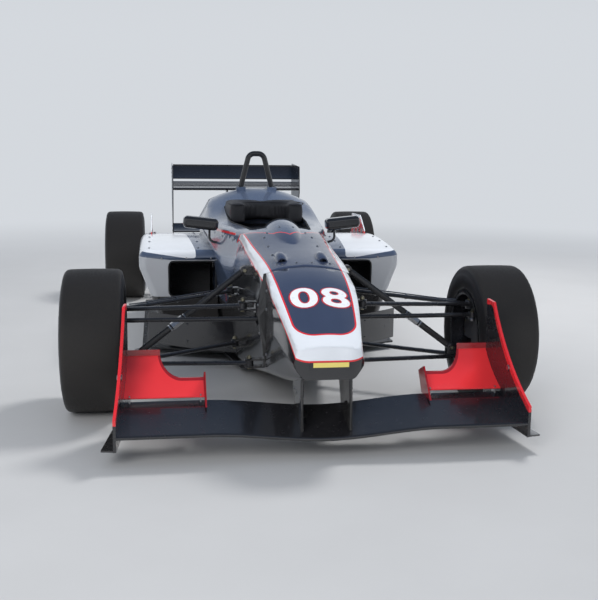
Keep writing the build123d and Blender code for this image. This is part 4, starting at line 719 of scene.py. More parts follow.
form = bmesh.new()
for side in SIDES:
    screws(form, [on_endplate(side, *place) for place in PLATE_SCREWS], MIDDLE_HEAD)
    outer, outward = on_endplate(side, *PLATE_DISC)
    disc = [(0.011, -0.001), (0.011, 0.0022), (0.009, 0.004)]
    turned(form, [*disc, (0.004, 0.004), (0.004, 0.002), (0, 0.002)], outer, outward, 18)
    turned(form, [*disc, (0, 0.004)], outer - outward * DISC_THICKNESS, -outward, 18)
detail("endplate_screws", form, alloy_fitting, "chassis")

# Flap adjusters: a slotted bracket behind each fin and each endplate, in machined alloy.
# Two screws clamp the flap's angle in each.
form = bmesh.new()
for side, across_flap in product(SIDES, (0.415, 0.660)):
    low, high = spot(side, across_flap, -0.470, 0.1545), spot(side, across_flap, -0.4475, 0.176)
    block(form, (low + high) / 2, (0.004, 0.030, 0.030))
    screws(form, [(low + Vector((side * 0.002, 0.004, 0.002)), (side, 0, 0)),
                  (high + Vector((side * 0.002, -0.004, 0)), (side, 0, 0))], CLAMP_HEAD)
detail("flap_adjusters", form, alloy_fitting, "chassis")

# Rear wing: two elements and a lower beam between endplates, on two carbon pylons.
# A thin strip stands on the flap's trailing edge; the ends are screwed through the plates.
smooth_copy("rear_wing", "rear_wing_elements", gloss_cloth)
smooth_copy("rear_wing_endplates", "rear_endplates", upright_cloth)
smooth_copy("rear_wing_pillars", "rear_wing_mounts", upright_cloth)
form = bmesh.new()
for side in SIDES:
    for out, places in (
            (0.452, ((0.345, 0.722), (0.420, 0.735), (0.490, 0.752), (0.535, 0.795), (0.575, 0.822),
                     (0.615, 0.850), (0.420, 0.412), (0.500, 0.438))),
            (0.064, ((0.355, 0.690), (0.400, 0.700), (0.250, 0.400), (0.300, 0.400)))):
        screws(form, [(spot(side, out, *place, REAR_AXLE), (side, 0, 0)) for place in places], MIDDLE_HEAD)
detail("rear_wing_screws", form, alloy_fitting, "chassis")
form = bmesh.new()
block(form, (0, REAR_AXLE + 0.6385, 0.8725), (0.890, 0.0016, 0.015))
detail("rear_gurney_strip", form, gloss_cloth, "chassis")

# Floor, diffuser and turning vanes: matt carbon sheet, screwed up to the sidepods.
# A worn beech plank with skid discs runs along the middle of the floor.
DIFFUSER_FACE = (0, -0.19, 1)
TINY_HEAD = 0.0045
smooth_copy("floor", "flat_floor", matt_cloth)
smooth_copy("diffuser", "rear_diffuser", matt_cloth)
smooth_copy("turning_vanes", "turning_vane_pair", upright_cloth)
form = bmesh.new()
for side in SIDES:
    for station in (0.98, 1.20, 1.42, 1.64, 1.86, 2.08):
        screws(form, [(spot(side, 0.628, station, 0.043), UP), (spot(side, 0.600, station, 0.035), DOWN)],
               MIDDLE_HEAD)
    screws(form, [(spot(side, 0.418, *place), DIFFUSER_FACE)
                  for place in ((2.45, 0.048), (2.60, 0.076), (2.75, 0.104))], TINY_HEAD)
detail("floor_screws", form, alloy_fitting, "chassis")
beech = finish("beech_plank", (0.22, 0.125, 0.055), (0.34, 0.205, 0.10), (0.55, 0.75), 22, bump=0.25,
               stretch=(6, 0.4, 6))
form = bmesh.new()
block(form, (0, FRONT_AXLE + 1.44, 0.0325), (0.20, 1.86, 0.005))
bmesh.ops.bevel(form, geom=form.edges[:], offset=0.0015, segments=2, profile=0.5, affect="EDGES", material=-1)
detail("floor_plank", form, beech, "chassis")
form = bmesh.new()
for station, side in product((0.58, 1.10, 1.70, 2.28), SIDES):
    turned(form, [(0.022, 0), (0.022, 0.0012), (0.019, 0.002), (0.006, 0.002), (0.005, 0.001), (0, 0.001)],
           spot(side, 0.062, station, 0.030), DOWN, 20)
detail("skid_discs", form, alloy_fitting, "chassis")

# Suspension: streamlined steel arms with eyes, powder coated black, pinned between ears.
# A locknut holds every pin.
PIN_REACH, PIN_NUT = 0.0205, 0.0085
FRONT_PUSHROD = ((0.212, 0.080, 0.540), (0.640, 0.0, 0.222))
REAR_PUSHROD = ((0.126, -0.095, 0.362), (0.620, -0.024, 0.204))
TUB_PINS = (((0.236, -0.110, 0.428), UP), ((0.252, 0.290, 0.420), UP), ((0.212, -0.130, 0.205), UP),
            ((0.232, 0.300, 0.190), UP), *((end, ALONG) for end in FRONT_PUSHROD))
GEARBOX_PINS = (((0.130, -0.190, 0.350), UP), ((0.124, 0.130, 0.350), UP), ((0.134, -0.220, 0.168), UP),
                ((0.124, 0.140, 0.178), UP), *((end, ALONG) for end in REAR_PUSHROD),
                ((0.690, 0.0, 0.400), UP), ((0.690, 0.0, 0.172), UP))
arm_coat = finish("arm_coat", (0.010, 0.010, 0.012), (0.018, 0.018, 0.020), (0.24, 0.36), 40, bump=0.05,
                  coat=0.35)
zinc_plate = finish("zinc_plate", (0.30, 0.27, 0.19), (0.42, 0.39, 0.29), (0.28, 0.42), 160, bump=0.05,
                    metallic=1.0)
for end_name in ("front", "rear"):
    smooth_copy(end_name + "_upper_wishbones", "upper_arms_" + end_name, arm_coat)
    smooth_copy(end_name + "_lower_wishbones", "lower_arms_" + end_name, arm_coat)
    smooth_copy(end_name + "_pushrods", "pushrods_" + end_name, arm_coat)
for hand in ("left", "right"):
    smooth_copy("tie_rod_" + hand, "steering_rod_" + hand, arm_coat)


def nuts(form, places, radius):
    """Hexagon nuts on washers, a thread end in each; places are (point, direction)."""
    washer = ((1.25, -0.15), (1.25, 0.16), (0, 0.16))
    nut = ((1, 0.1), (1, 0.86), (0.86, 1), (0.52, 1), (0.52, 1.3), (0.42, 1.4), (0, 1.4))
    for point, direction in places:
        for profile, segments in ((washer, 20), (nut, 6)):
            turned(form, [(out * radius, high * radius) for out, high in profile], point, direction, segments)


form = bmesh.new()
for axle, pins in ((FRONT_AXLE, TUB_PINS), (REAR_AXLE, GEARBOX_PINS)):
    for side, (place, axis) in product(SIDES, pins):
        middle = spot(side, *place, axle)
        nuts(form, [(middle + axis * (PIN_REACH - 0.0005), axis)], PIN_NUT)
        turned(form, [(PIN_NUT, 0), (PIN_NUT, 0.003), (0.007, 0.0048), (0, 0.0048)],
               middle - axis * (PIN_REACH - 0.0015), -axis, 6)
detail("arm_pin_nuts", form, zinc_plate, "chassis")

# Pushrod adjusters: bright steel hexagon sleeves, threaded on the rods' lower ends.
# A locknut stands at each end of the sleeve.
SLEEVE_SHARE = 0.58
bright_steel = finish("bright_steel", (0.50, 0.50, 0.51), (0.64, 0.64, 0.65), (0.18, 0.28), 70, bump=0.03,
                      metallic=1.0)
form = bmesh.new()
for side, (axle, ends) in product(SIDES, ((FRONT_AXLE, FRONT_PUSHROD), (REAR_AXLE, REAR_PUSHROD))):
    upper, lower = (spot(side, *end, axle) for end in ends)
    slope = (lower - upper).normalized()
    start = upper.lerp(lower, SLEEVE_SHARE)
    turned(form, [(0.0125, 0), (0.0165, 0.002), (0.0165, 0.056), (0.0125, 0.058)], start, slope, 6)
    for offset in (-0.012, 0.0605):
        turned(form, [(0.0110, 0), (0.0150, 0.0015), (0.0150, 0.0075), (0.0110, 0.009)],
               start + offset * slope, slope, 6)
detail("pushrod_adjusters", form, bright_steel, "chassis")

# Brake lines: steel braid over hose, from the tub to each front caliper.
# Each follows the rear leg of its upper arm, which three clips hold it to.
LINE_RADIUS = 0.0024
LINE_ROUTE = ((0.243, 0.268, 0.444), (0.300, 0.2535, 0.4335), (0.45, 0.171, 0.4238), (0.60, 0.0845, 0.4142),
              (0.672, 0.043, 0.4125))
ARM_FOOT, ARM_RUN = Vector((0.252, 0.290, 0.420)), Vector((0.463, -0.290, -0.020))
line_steel = finish("line_steel", (0.22, 0.22, 0.23), (0.34, 0.34, 0.35), (0.3, 0.45), 300, bump=0.3,
                    metallic=1.0)
form = bmesh.new()
for side in SIDES:
    tube(form, [spot(side, *place) for place in LINE_ROUTE], LINE_RADIUS, rounds=8)
    for part in (0.25, 0.5, 0.75):
        turned(form, [(0.0105, -0.003), (0.0115, -0.003), (0.0115, 0.003), (0.0105, 0.003)],
               spot(side, *(ARM_FOOT + ARM_RUN * part)), spot(side, *ARM_RUN, 0), 16)
detail("front_brake_lines", form, line_steel, "chassis")

# Uprights: milled alloy plates that carry the stub axles, with black calipers over the discs.
# The ball joints and the tie rods are held by locknuts; the caliper halves by screws.
FRONT_HEIGHT, REAR_HEIGHT = 0.280, 0.290
HANDS = (("left", 1), ("right", -1))
CALIPER_STATIONS = (0.098, 0.138)
CALIPER_START, CALIPER_INNER, CALIPER_OUTER, CALIPER_HALF = 0.078, 0.088, 0.156, 0.044
machined = finish("machined_alloy", (0.26, 0.26, 0.27), (0.38, 0.38, 0.39), (0.28, 0.42), 60, bump=0.04,
                  metallic=1.0, stretch=(1, 1, 8))
caliper_coat = finish("caliper_coat", (0.020, 0.020, 0.022), (0.034, 0.034, 0.036), (0.35, 0.50), 120,
                      bump=0.06, metallic=0.5)


def is_caliper(axle, height):
    """Picker of the faces that belong to the caliper on an axle."""
    def pick(face):
        _, back, high = face.calc_center_median() - Vector((0, axle, height))
        within = CALIPER_INNER < hypot(back, high) < CALIPER_OUTER and abs(high) < CALIPER_HALF
        return 1 if within and back > CALIPER_START else 0
    return pick


smooth_copy("rear_uprights", "uprights_rear", machined, caliper_coat, pick=is_caliper(REAR_AXLE, REAR_HEIGHT))
for hand, side in HANDS:
    node = "front_upright_" + hand
    smooth_copy(node, "upright_" + hand, machined, caliper_coat, pick=is_caliper(FRONT_AXLE, FRONT_HEIGHT))
    form = bmesh.new()
    nuts(form, [(spot(side, 0.715, 0, 0.4195), UP), (spot(side, 0.700, -0.085, 0.3835), UP),
                (spot(side, 0.715, 0, 0.1625), DOWN)], PIN_NUT)
    inward = side * INWARD
    screws(form, [(spot(side, 0.7495, *place), inward)
                  for place in product(CALIPER_STATIONS, (0.255, 0.305))], SMALL_HEAD)
    screws(form, [(spot(side, 0.7452, *place), inward)
                  for place in product((-0.026, 0.026), (0.345, 0.215))], TINY_HEAD)
    detail("upright_fixings_" + hand, form, zinc_plate, frame["nodes"][node]["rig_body"])
form = bmesh.new()
screws(form, [(spot(side, 0.7190, *place, REAR_AXLE), side * INWARD)
              for side, *place in product(SIDES, CALIPER_STATIONS, (0.265, 0.315))], SMALL_HEAD)
detail("rear_caliper_screws", form, zinc_plate, "chassis")

# Driveshafts: bare oiled steel, with ribbed rubber boots over the joints.
# The boot's profile is (radius, distance along the shaft), from its clamp to its neck.
BOOT = ((0.0395, -0.012), (0.0405, -0.010), (0.0405, -0.004), (0.038, -0.002), (0.0385, 0.003),
        (0.034, 0.008), (0.036, 0.012), (0.030, 0.017), (0.032, 0.021), (0.025, 0.026), (0.027, 0.030),
        (0.020, 0.035), (0.0195, 0.044), (0.0145, 0.044))
oiled_steel = finish("oiled_steel", (0.24, 0.23, 0.22), (0.36, 0.35, 0.34), (0.25, 0.45), 30, bump=0.05,
                     metallic=1.0, stretch=(0.3, 3, 3))
for hand, side in HANDS:
    smooth_copy("driveshaft_" + hand, "halfshaft_" + hand, oiled_steel)
    form = bmesh.new()
    for out, way in ((0.1703, side), (0.6565, -side)):
        turned(form, BOOT, (side * out, REAR_AXLE, REAR_HEIGHT), (way, 0, 0), 28)
    body = frame["nodes"]["driveshaft_" + hand]["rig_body"]
    detail("shaft_boots_" + hand, form, edge_rubber, body, 25)


# Tyres: slick racing tyres with a scuffed dull tread and smoother moulded sidewalls.
# Each is turned from bead to bead and carries a rim rib and fine moulding rings.
def arc(first, middle, last, parts):
    """Points on the circle through three points, from the first to the last."""
    (ax, ay), (bx, by), (cx, cy) = first, middle, last
    scale = 2 * (ax * (by - cy) + bx * (cy - ay) + cx * (ay - by))
    a, b, c = ax * ax + ay * ay, bx * bx + by * by, cx * cx + cy * cy
    centre = Vector(((a * (by - cy) + b * (cy - ay) + c * (ay - by)) / scale,
                     (a * (cx - bx) + b * (ax - cx) + c * (bx - ax)) / scale))
    start, end = Vector(first) - centre, Vector(last) - centre
    sweep = start.angle_signed(end)
    return [tuple(centre + Matrix.Rotation(-sweep * part / parts, 2) @ start) for part in range(parts + 1)]


BEAD_RADIUS_ON_RIM, BEAD_INSET, BULGE_SHARE, CLEAR_OF_GROUND = 0.1653, 0.0063, 0.45, 0.0003
RING_PITCH, TREAD_BAND = 0.0031, 0.011


def tyre_outline(half, rim_half, outer):
    """Closed outline of (distance from the tyre's middle, radius), from bead to bead."""
    bead, inner = rim_half - BEAD_INSET, BEAD_RADIUS_ON_RIM
    bulge, shoulder_foot = (half, inner + BULGE_SHARE * (outer - inner)), (half - 0.006, outer - 0.028)
    tread_edge, far_edge = (half - 0.028, outer - 0.002), (0.028 - half, outer - 0.002)
    wall = arc((bead, inner + 0.012), bulge, shoulder_foot, 9)
    shoulder = arc(shoulder_foot, (half - 0.012, outer - 0.009), tread_edge, 5)
    crown = arc(tread_edge, (0.0, outer), far_edge, 6)
    rib = [(bead + out, inner + high) for out, high in (
        (0.0005, 0.0125), (0.0035, 0.0135), (0.0045, 0.0165), (0.0035, 0.0195))]
    half_outline = [(bead, inner), *rib, *wall[2:-1], *shoulder[:-1]]
    return [*half_outline, *crown, *((-out, high) for out, high in reversed(half_outline)), (bead, inner)]


def reach_from(material, axle, height):
    """Distance from an axle, seen along it."""
    tree = material.node_tree
    place = wire(tree, "ShaderNodeTexCoord", output="Object")
    centred = wire(tree, "ShaderNodeVectorMath", place, (0, axle, height), operation="SUBTRACT")
    flat = wire(tree, "ShaderNodeVectorMath", centred, (0, 1, 1), operation="MULTIPLY")
    return wire(tree, "ShaderNodeVectorMath", flat, operation="LENGTH", output="Value")


def tyre_rubber(name, axle, height):
    """Rubber, scuffed on the tread and smooth on the walls, with fine moulding rings."""
    material = finish(name, (0.015, 0.0135, 0.0125), (0.027, 0.0245, 0.0225), (0.48, 0.62), 55,
                      stretch=(2.2, 1, 1))
    tree = material.node_tree
    shader = shader_of(material)
    shader["Specular IOR Level"].default_value = 0.4
    reach = reach_from(material, axle, height)
    tread = step(reach, height - TREAD_BAND, 0.004)
    place = wire(tree, "ShaderNodeTexCoord", output="Object")
    crumbs = wire(tree, "ShaderNodeTexNoise", place, None, 320.0, 3.0, 0.7, output="Fac")
    worn = blend(step(crumbs, 0.63, 0.02) * 0.5, fed(material, "Base Color"), (0.048, 0.043, 0.038, 1))
    wall = blend(crumbs, (0.007, 0.007, 0.008, 1), (0.011, 0.011, 0.012, 1))
    repaint(material, blend(tread, wall, worn))
    feed(shader["Roughness"], ramp(tread, 0.0, 1.0, 0.46, fed(material, "Roughness")))
    rings = calc("SINE", reach * (2 * pi / RING_PITCH)) * 0.5
    emboss(material, ramp(tread, 0.0, 1.0, rings, crumbs), 0.16, 0.0006)
    return material


# Columns: axle, its station, out to the wheel's middle, height, half widths of tyre and rim.
AXLES = (("front", FRONT_AXLE, 0.804, FRONT_HEIGHT, 0.117, 0.109),
         ("rear", REAR_AXLE, 0.7735, REAR_HEIGHT, 0.1265, 0.119))
for axle_name, axle, out, height, half, rim_half in AXLES:
    rubber = tyre_rubber("slick_rubber_" + axle_name, axle, height)
    outline = tyre_outline(half, rim_half, height - CLEAR_OF_GROUND)
    for hand, side in HANDS:
        corner = axle_name + "_" + hand
        form = bmesh.new()
        turned(form, [(radius, across) for across, radius in outline], (side * out, axle, height),
               (side, 0, 0), 76)
        body = frame["nodes"]["tyre_" + corner]["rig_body"]
        tyre = detail("slick_" + corner, form, rubber, body, 50)
        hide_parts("tyre_" + corner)

# Wheels: dark anodised alloy rims, spun and milled, with a steel brake disc behind each.
# A ring of screws joins barrel and centre; one hexagon nut with a spring clip holds the wheel.
RIM_SCREWS, RIM_HEAD = 16, 0.0048
SCREW_CIRCLE, VALVE_CIRCLE = 0.152, 0.157
HUB_FACE, RIM_INSET, DISH_START, DISH_RUN = 0.062, 0.026, 0.044, 0.119
DISC_PLACE, DISC_RADII = (-0.0375, -0.0205), (0.045, 0.127)
NUT_PLACE, NUT_RADIUS = 0.0715, 0.034
VALVE_ANGLE, TURNING_PITCH = 0.39, 0.0014
rim_alloy = finish("anodised_alloy", (0.060, 0.063, 0.072), (0.095, 0.098, 0.110), (0.24, 0.36), 50,
                   bump=0.03, metallic=0.95)


def rim_parts(side, axle, out, height):
    """Picker of the brake disc's faces (1), the wheel nut's (2) and the rim's own (0)."""
    def pick(face):
        across, back, high = face.calc_center_median() - Vector((side * out, axle, height))
        outboard, reach = side * across, hypot(back, high)
        if DISC_PLACE[0] < outboard < DISC_PLACE[1] and DISC_RADII[0] < reach < DISC_RADII[1]:
            return 1
        return 2 if outboard > NUT_PLACE and reach < NUT_RADIUS else 0
    return pick


for axle_name, axle, out, height, _, rim_half in AXLES:
    disc_steel = finish("disc_steel_" + axle_name, (0.20, 0.19, 0.18), (0.34, 0.33, 0.31), (0.22, 0.36), 20,
                        metallic=1.0)
    turning = calc("SINE", reach_from(disc_steel, axle, height) * (2 * pi / TURNING_PITCH))
    emboss(disc_steel, turning, 0.3, 0.0004)
    dish_depth = rim_half - RIM_INSET - HUB_FACE
    screw_out = HUB_FACE + dish_depth * (SCREW_CIRCLE - DISH_START) / DISH_RUN + 0.0005
    for hand, side in HANDS:
        corner = axle_name + "_" + hand
        smooth_copy("rim_" + corner, "wheel_" + corner, rim_alloy, disc_steel, zinc_plate,
                    pick=rim_parts(side, axle, out, height))
        hub = Vector((side * out, axle, height))
        outward = Vector((side, 0, 0))
        form = bmesh.new()
        for turn in range(RIM_SCREWS):
            angle = 2 * pi * (turn + 0.5) / RIM_SCREWS
            spoke = Vector((0, cos(angle), sin(angle)))
            seat = hub + outward * screw_out + spoke * SCREW_CIRCLE
            screws(form, [(seat, outward * 0.985 - spoke * 0.17)], RIM_HEAD)
        turned(form, [(0.0262, 0), (0.0318, 0), (0.0318, 0.0022), (0.0262, 0.0022)],
               hub + outward * 0.0735, outward, 28)
        valve_way = Vector((0, cos(VALVE_ANGLE), sin(VALVE_ANGLE)))
        turned(form, [(0.0045, -0.004), (0.0045, 0.014), (0.0055, 0.0145), (0.0055, 0.023), (0.0045, 0.0245),
                      (0, 0.0245)], hub + outward * (rim_half - 0.027) + valve_way * VALVE_CIRCLE,
               outward * 0.93 - valve_way * 0.37, 12)
        body = frame["nodes"]["rim_" + corner]["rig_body"]
        detail("rim_fittings_" + corner, form, alloy_fitting, body)

# Power unit: cast alloy engine block and gearbox, and a steel exhaust pipe with its clamp.
# The casing is bolted on round its flange; cast skins are rough and the exhaust is heat tinted.
COVER_PLATE = Vector((0, REAR_AXLE - 0.02, 0.380))
CASING_FLANGE = FRONT_AXLE + 2.2005
CLAMP = Vector((-0.1448, FRONT_AXLE + 2.235, 0.345))
cast_alloy = finish("cast_alloy", (0.16, 0.16, 0.16), (0.27, 0.27, 0.26), (0.42, 0.62), 90, bump=0.35,
                    metallic=0.9)
heat_tinted = finish("heat_tinted_steel", (0.26, 0.19, 0.13), (0.42, 0.37, 0.33), (0.22, 0.38), 9, bump=0.05,
                     metallic=1.0)
smooth_copy("engine", "engine_block", cast_alloy)
smooth_copy("gearbox", "gearbox_casing", cast_alloy)
smooth_copy("exhaust", "tail_pipe", heat_tinted)
form = bmesh.new()
turned(form, [(0.056, 0), (0.056, 0.004), (0.050, 0.006), (0.020, 0.006), (0.018, 0.012), (0, 0.012)],
       COVER_PLATE, UP, 32)
for side, (out, station) in product(SIDES, ((0.097, -0.150), (0.094, -0.02), (0.0915, 0.12))):
    block(form, (side * out, REAR_AXLE + station, 0.275), (0.010, 0.007, 0.150))
detail("casing_ribs", form, cast_alloy, "chassis")
form = bmesh.new()
for side in SIDES:
    places = [*product((0.132,), (0.12, 0.19, 0.26, 0.33, 0.40)), (0.060, 0.450)]
    nuts(form, [((side * out, CASING_FLANGE, height), ALONG) for out, height in places], 0.0080)
for turn in range(6):
    spoke = Vector((cos(pi / 3 * turn), sin(pi / 3 * turn), 0))
    screws(form, [(COVER_PLATE + 0.045 * spoke + 0.0055 * UP, UP)], SMALL_HEAD)
detail("casing_bolts", form, zinc_plate, "chassis")
form = bmesh.new()
turned(form, [(0.0252, -0.006), (0.0275, -0.006), (0.0275, 0.006), (0.0252, 0.006)], CLAMP, ALONG, 28)
nuts(form, [(CLAMP + 0.0265 * UP, UP)], 0.0045)
detail("exhaust_clamp", form, zinc_plate, "chassis")

# Radiators: black cores of flat pipes with pale fins between them.
# They stand behind the intakes, slanted in the hollow sidepods.
CORE_SLANT = radians(18)
FIN_PITCH, PIPE_PITCH = 0.003, 0.011
radiator_black = finish("radiator_black", (0.014, 0.014, 0.015), (0.030, 0.030, 0.032), (0.45, 0.65), 200,
                        metallic=0.5)
x, y, z = axes_of(radiator_black)
slant = abs(x) * cos(CORE_SLANT) + y * sin(CORE_SLANT)
fin_wave = calc("SINE", slant * (2 * pi / FIN_PITCH))
pipes = step(calc("SINE", z * (2 * pi / PIPE_PITCH)), 0.55, 0.1)
core = blend(step(fin_wave, 0.2, 0.3), (0.008, 0.008, 0.009, 1), (0.17, 0.17, 0.175, 1))
repaint(radiator_black, blend(pipes, core, (0.09, 0.09, 0.093, 1)))
emboss(radiator_black, calc("MAXIMUM", fin_wave, pipes * 1.2), 0.8, 0.002)
smooth_copy("radiators", "radiator_cores", radiator_black)

# Rain light: a black moulded housing on the gearbox's tail, with three rows of red lenses.
# Each lens is a small dome of clear red plastic.
LENS_PITCH, ROW_PITCH = 0.0115, 0.0095
black_fitting = finish("black_fitting", (0.012, 0.012, 0.013), (0.024, 0.024, 0.026), (0.30, 0.45), 120,
                       bump=0.05, coat=0.3)
light_red = finish("red_lens", (0.30, 0.006, 0.008), (0.42, 0.010, 0.012), (0.10, 0.18), 120, bump=0.1,
                   coat=0.6)
smooth_copy("rear_light", "rain_light", black_fitting)
form = bmesh.new()
for row, column in product((-1, 0, 1), range(-3, 4)):
    turned(form, [(0.0046, -0.0002), (0.0040, 0.0020), (0.0024, 0.0036), (0, 0.0042)],
           (column * LENS_PITCH, REAR_AXLE + 0.366, 0.358 + row * ROW_PITCH), ALONG, 12)
detail("rain_light_lenses", form, light_red, "chassis")

# Cockpit: a coated steel roll hoop welded to bolted feet, and a bare carbon seat shell.
# Four screws hold each foot to its pad on the tub.
FOOT_OUT, FOOT_STATION, FOOT_HEIGHT, FOOT_SCREW = 0.088, FRONT_AXLE + 1.65, 0.798, 0.0195
hoop_coat = finish("hoop_coat", (0.012, 0.012, 0.013), (0.022, 0.022, 0.024), (0.28, 0.40), 60, bump=0.06,
                   coat=0.4)
smooth_copy("roll_hoop", "roll_hoop_tube", hoop_coat)
smooth_copy("seat", "seat_shell", matt_cloth)
form = bmesh.new()
for side in SIDES:
    turned(form, [(0.0185, 0), (0.0185, 0.002), (0.0165, 0.0050), (0.0152, 0.0060)],
           (side * FOOT_OUT, FOOT_STATION, FOOT_HEIGHT), (-side * 0.25, 0, 1), 24)
detail("hoop_welds", form, hoop_coat, "chassis")
form = bmesh.new()
screws(form, [((side * FOOT_OUT + across * FOOT_SCREW, FOOT_STATION + along * FOOT_SCREW, FOOT_HEIGHT), UP)
              for side, across, along in product(SIDES, SIDES, SIDES)], RIM_HEAD)
detail("hoop_screws", form, alloy_fitting, "chassis")

# Headrest: energy foam in a glued synthetic leather cover, piped round its upper edge.
# The pad starts a little small and is swelled by pressure, so that it crowns between its edges.
SWELL_LIMIT, SWELL_FRAMES = 0.006, 20
PIPING_INSET, PIPING_STEP, PIPING_RADIUS = 0.004, 0.012, 0.0026
cover_leather = finish("headrest_leather", (0.014, 0.014, 0.016), (0.026, 0.026, 0.029), (0.42, 0.58), 420,
                       bump=0.35)
headrest = smooth_copy("headrest", "headrest_pad", cover_leather)


def upper_edge(mesh):
    """Points of the piping, in order round the edge between a pad's top and its walls."""
    edges = bmesh.new()
    edges.from_mesh(mesh)
    steps = {}
    for edge in edges.edges:
        top, wall = sorted(edge.link_faces, key=lambda face: -face.normal.z)[:2]
        if top.normal.z > 0.9 and abs(wall.normal.z) < 0.2:
            for vert in edge.verts:
                steps.setdefault(vert, []).append((edge.other_vert(vert), wall.normal.copy()))
    here, points, passed = max(steps, key=lambda vert: vert.co.y), [], set()
    while here and here not in passed:
        passed.add(here)
        inset = sum((way for _, way in steps[here]), Vector()).normalized() + UP
        point = here.co - PIPING_INSET * inset
        if not points or (point - points[-1]).length > PIPING_STEP:
            points.append(point)
        here = next((other for other, _ in steps[here] if other not in passed), None)
    edges.free()
    return points


def settle(piece):
    """The piece's mesh becomes what its modifiers make of it."""
    shaped = bpy.data.meshes.new_from_object(piece.evaluated_get(bpy.context.evaluated_depsgraph_get()))
    piece.modifiers.clear()
    piece.data = shaped


piping = upper_edge(headrest.data)
rounded = headrest.modifiers.new("rounded", "REMESH")
rounded.mode = "VOXEL"
rounded.voxel_size = 0.007
soften = headrest.modifiers.new("soften", "SMOOTH")
soften.factor = 0.7
soften.iterations = 10
settle(headrest)
before = [vert.co.copy() for vert in headrest.data.vertices]
swelling = headrest.modifiers.new("swelling", "CLOTH")
swelling.settings.use_pressure = True
swelling.settings.uniform_pressure_force = 4
swelling.settings.effector_weights.gravity = 0
for frame_number in range(1, SWELL_FRAMES + 1):
    scene.frame_set(frame_number)
settle(headrest)
scene.frame_set(1)
for vert, start in zip(headrest.data.vertices, before):
    way = vert.co - start
    vert.co = start + way * min(1, SWELL_LIMIT / max(way.length, 1e-9))
headrest.data.shade_smooth()
finer = headrest.modifiers.new("finer", "SUBSURF")
finer.levels = finer.render_levels = 1
pad_skin = skin_of(headrest)
form = bmesh.new()
tube(form, [pad_skin.find_nearest(point)[0] for point in [*piping, piping[0]]], PIPING_RADIUS, rounds=2)
detail("headrest_piping", form, cover_leather, "chassis", 60)

# Mirrors: gloss black housings on stalks, raised a little towards their outer ends.
# The silvered glass has rounded corners and is set in from the housing's edge.
LIFT = radians(6)
GLASS_OUT, GLASS_STATION, GLASS_HEIGHT = 0.350, FRONT_AXLE + 0.9006, 0.660
GLASS_HALF, GLASS_CORNER, GLASS_THICKNESS = (0.066, 0.010), 0.012, 0.0012
mirror_gloss = finish("mirror_gloss", (0.010, 0.010, 0.011), (0.018, 0.018, 0.020), (0.12, 0.22), 30,
                      coat=0.9)
silvered = finish("silvered_glass", (0.80, 0.82, 0.83), (0.84, 0.86, 0.87), (0.02, 0.04), 8, metallic=1.0)
smooth_copy("mirrors", "mirror_housings", mirror_gloss)
form = bmesh.new()
for side in SIDES:
    ring = []
    for quarter, (right, high) in enumerate(((1, 1), (-1, 1), (-1, -1), (1, -1))):
        for part in range(5):
            angle = pi / 2 * (quarter + part / 4)
            ring.append(form.verts.new((right * GLASS_HALF[0] + GLASS_CORNER * cos(angle), 0,
                                        high * GLASS_HALF[1] + GLASS_CORNER * sin(angle))))
    face = form.faces.new(ring)
    wall = bmesh.ops.extrude_edge_only(form, edges=face.edges[:])["geom"]
    backs = [part for part in wall if isinstance(part, bmesh.types.BMVert)]
    bmesh.ops.translate(form, vec=-ALONG * GLASS_THICKNESS, verts=backs)
    stand = Matrix.Translation((side * GLASS_OUT, GLASS_STATION + GLASS_THICKNESS, GLASS_HEIGHT))
    bmesh.ops.transform(form, matrix=stand @ Matrix.Rotation(-side * LIFT, 4, "Y"), verts=[*ring, *backs])
detail("mirror_glass", form, silvered, "chassis")

# Steering wheel: a carbon plate with sewn grips, a blank display, push buttons and dials.
# Shift paddles sit behind it, and a knurled collar joins it to the column.
TILT = radians(22)
FACING = Vector((0, cos(TILT), sin(TILT)))
WHEEL_STAND = Matrix.Translation((0, FRONT_AXLE + 0.800, 0.560)) @ Matrix((
    (1, 0, 0), (0, sin(TILT), -cos(TILT)), FACING)).transposed().to_4x4()
BOSS_FACE = 0.0208
smooth_copy("steering_wheel", "steering_wheel_body", matt_cloth)
wheel_body = frame["nodes"]["steering_wheel"]["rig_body"]
suede = finish("grip_suede", (0.012, 0.012, 0.013), (0.026, 0.026, 0.028), (0.75, 0.92), 380, bump=0.5)
dark_glass = finish("dark_glass", (0.004, 0.005, 0.006), (0.007, 0.008, 0.010), (0.05, 0.10), 20, coat=0.5)


def on_wheel(across_face, down_face, proud):
    """Point on the steering wheel: across, down its face and out towards the driver."""
    return WHEEL_STAND @ Vector((across_face, down_face, proud))


def wheel_block(form, place, size, edge):
    """Box with eased edges, square to the steering wheel's face."""
    made = bmesh.ops.create_cube(form, size=1, matrix=WHEEL_STAND @ Matrix.Translation(place)
                                 @ Matrix.Diagonal((*size, 1)))
    sides = list({line for vert in made["verts"] for line in vert.link_edges})
    bmesh.ops.bevel(form, geom=sides, offset=edge, segments=2, profile=0.5, affect="EDGES", material=-1)


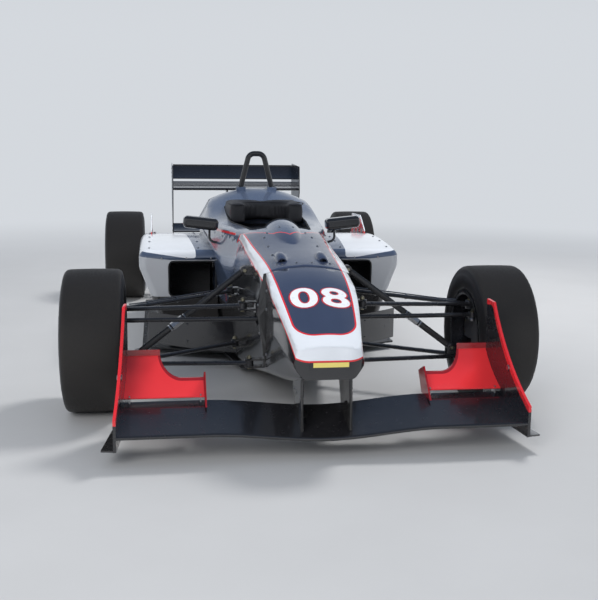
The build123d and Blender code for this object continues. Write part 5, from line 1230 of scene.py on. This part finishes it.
form = bmesh.new()
for side in SIDES:
    tube(form, [on_wheel(side * across, down, proud) for across, down, proud in (
        (0.1065, -0.062, 0), (0.1165, -0.040, 0.001), (0.1185, -0.010, 0), (0.1185, 0.020, 0.001),
        (0.1150, 0.044, 0))], 0.0150, 16)
detail("wheel_grips", form, suede, wheel_body, 60)
form = bmesh.new()
wheel_block(form, (0, -0.012, 0.0150), (0.132, 0.096, 0.012), 0.004)
for side in SIDES:
    wheel_block(form, (side * 0.085, -0.012, -0.024), (0.060, 0.044, 0.003), 0.001)
detail("wheel_boss_and_paddles", form, matt_cloth, wheel_body)
form = bmesh.new()
wheel_block(form, (0, -0.033, 0.0215), (0.074, 0.034, 0.003), 0.001)
detail("wheel_display", form, dark_glass, wheel_body)
for name, colour, *places in (
        ("buttons_red", (0.40, 0.010, 0.012), (-0.054, -0.040), (0.054, 0.018)),
        ("buttons_yellow", (0.52, 0.36, 0.03), (0.054, -0.040), (-0.054, 0.018)),
        ("buttons_green", (0.03, 0.22, 0.06), (-0.054, -0.011), (0.0, 0.026)),
        ("buttons_blue", (0.02, 0.07, 0.30), (0.054, -0.011), (0.0, 0.0))):
    form = bmesh.new()
    for across_face, down_face in places:
        turned(form, [(0.0062, 0), (0.0062, 0.003), (0.0054, 0.0042), (0, 0.0048)],
               on_wheel(across_face, down_face, BOSS_FACE), FACING, 18)
    cap = finish(name + "_cap", colour, [1.15 * part for part in colour], (0.30, 0.42), 90, bump=0.08)
    detail(name, form, cap, wheel_body)
form = bmesh.new()
for across_face in (-0.026, 0.026):
    turned(form, [(0.0110, 0), (0.0110, 0.0015), (0.0080, 0.0020), (0.0076, 0.0100), (0.0066, 0.0112),
                  (0, 0.0112)], on_wheel(across_face, 0.012, 0.0206), FACING, 20)
screws(form, [(on_wheel(across_face, down_face, BOSS_FACE), FACING)
              for across_face, down_face in product((-0.061, 0.061), (-0.055, 0.031))], 0.0026)
turned(form, [(0.016, 0), (0.027, 0.002), (0.028, 0.006), (0.028, 0.022), (0.027, 0.026), (0.016, 0.028)],
       on_wheel(0, 0, -0.012), -FACING, 32)
detail("wheel_dials_and_collar", form, alloy_fitting, wheel_body)

# Dash: two blank gauges and four toggle switches in black on the tub's cross panel.
# They face the driver, either side of the steering column.
DASH_FACE = FRONT_AXLE + 0.5722
form = bmesh.new()
for across_dash in (-0.105, 0.105):
    turned(form, [(0.022, 0), (0.022, 0.006), (0.0205, 0.0075), (0.0190, 0.0075), (0.0185, 0.0045),
                  (0, 0.0045)], (across_dash, DASH_FACE, 0.520), ALONG, 28)
for across_dash in (-0.05, -0.03, 0.03, 0.05):
    turned(form, [(0.0070, 0), (0.0070, 0.003), (0.0038, 0.0042), (0.0030, 0.0150), (0, 0.0165)],
           (across_dash, DASH_FACE, 0.455), ALONG, 14)
detail("dash_gauges_and_switches", form, black_fitting, "chassis")
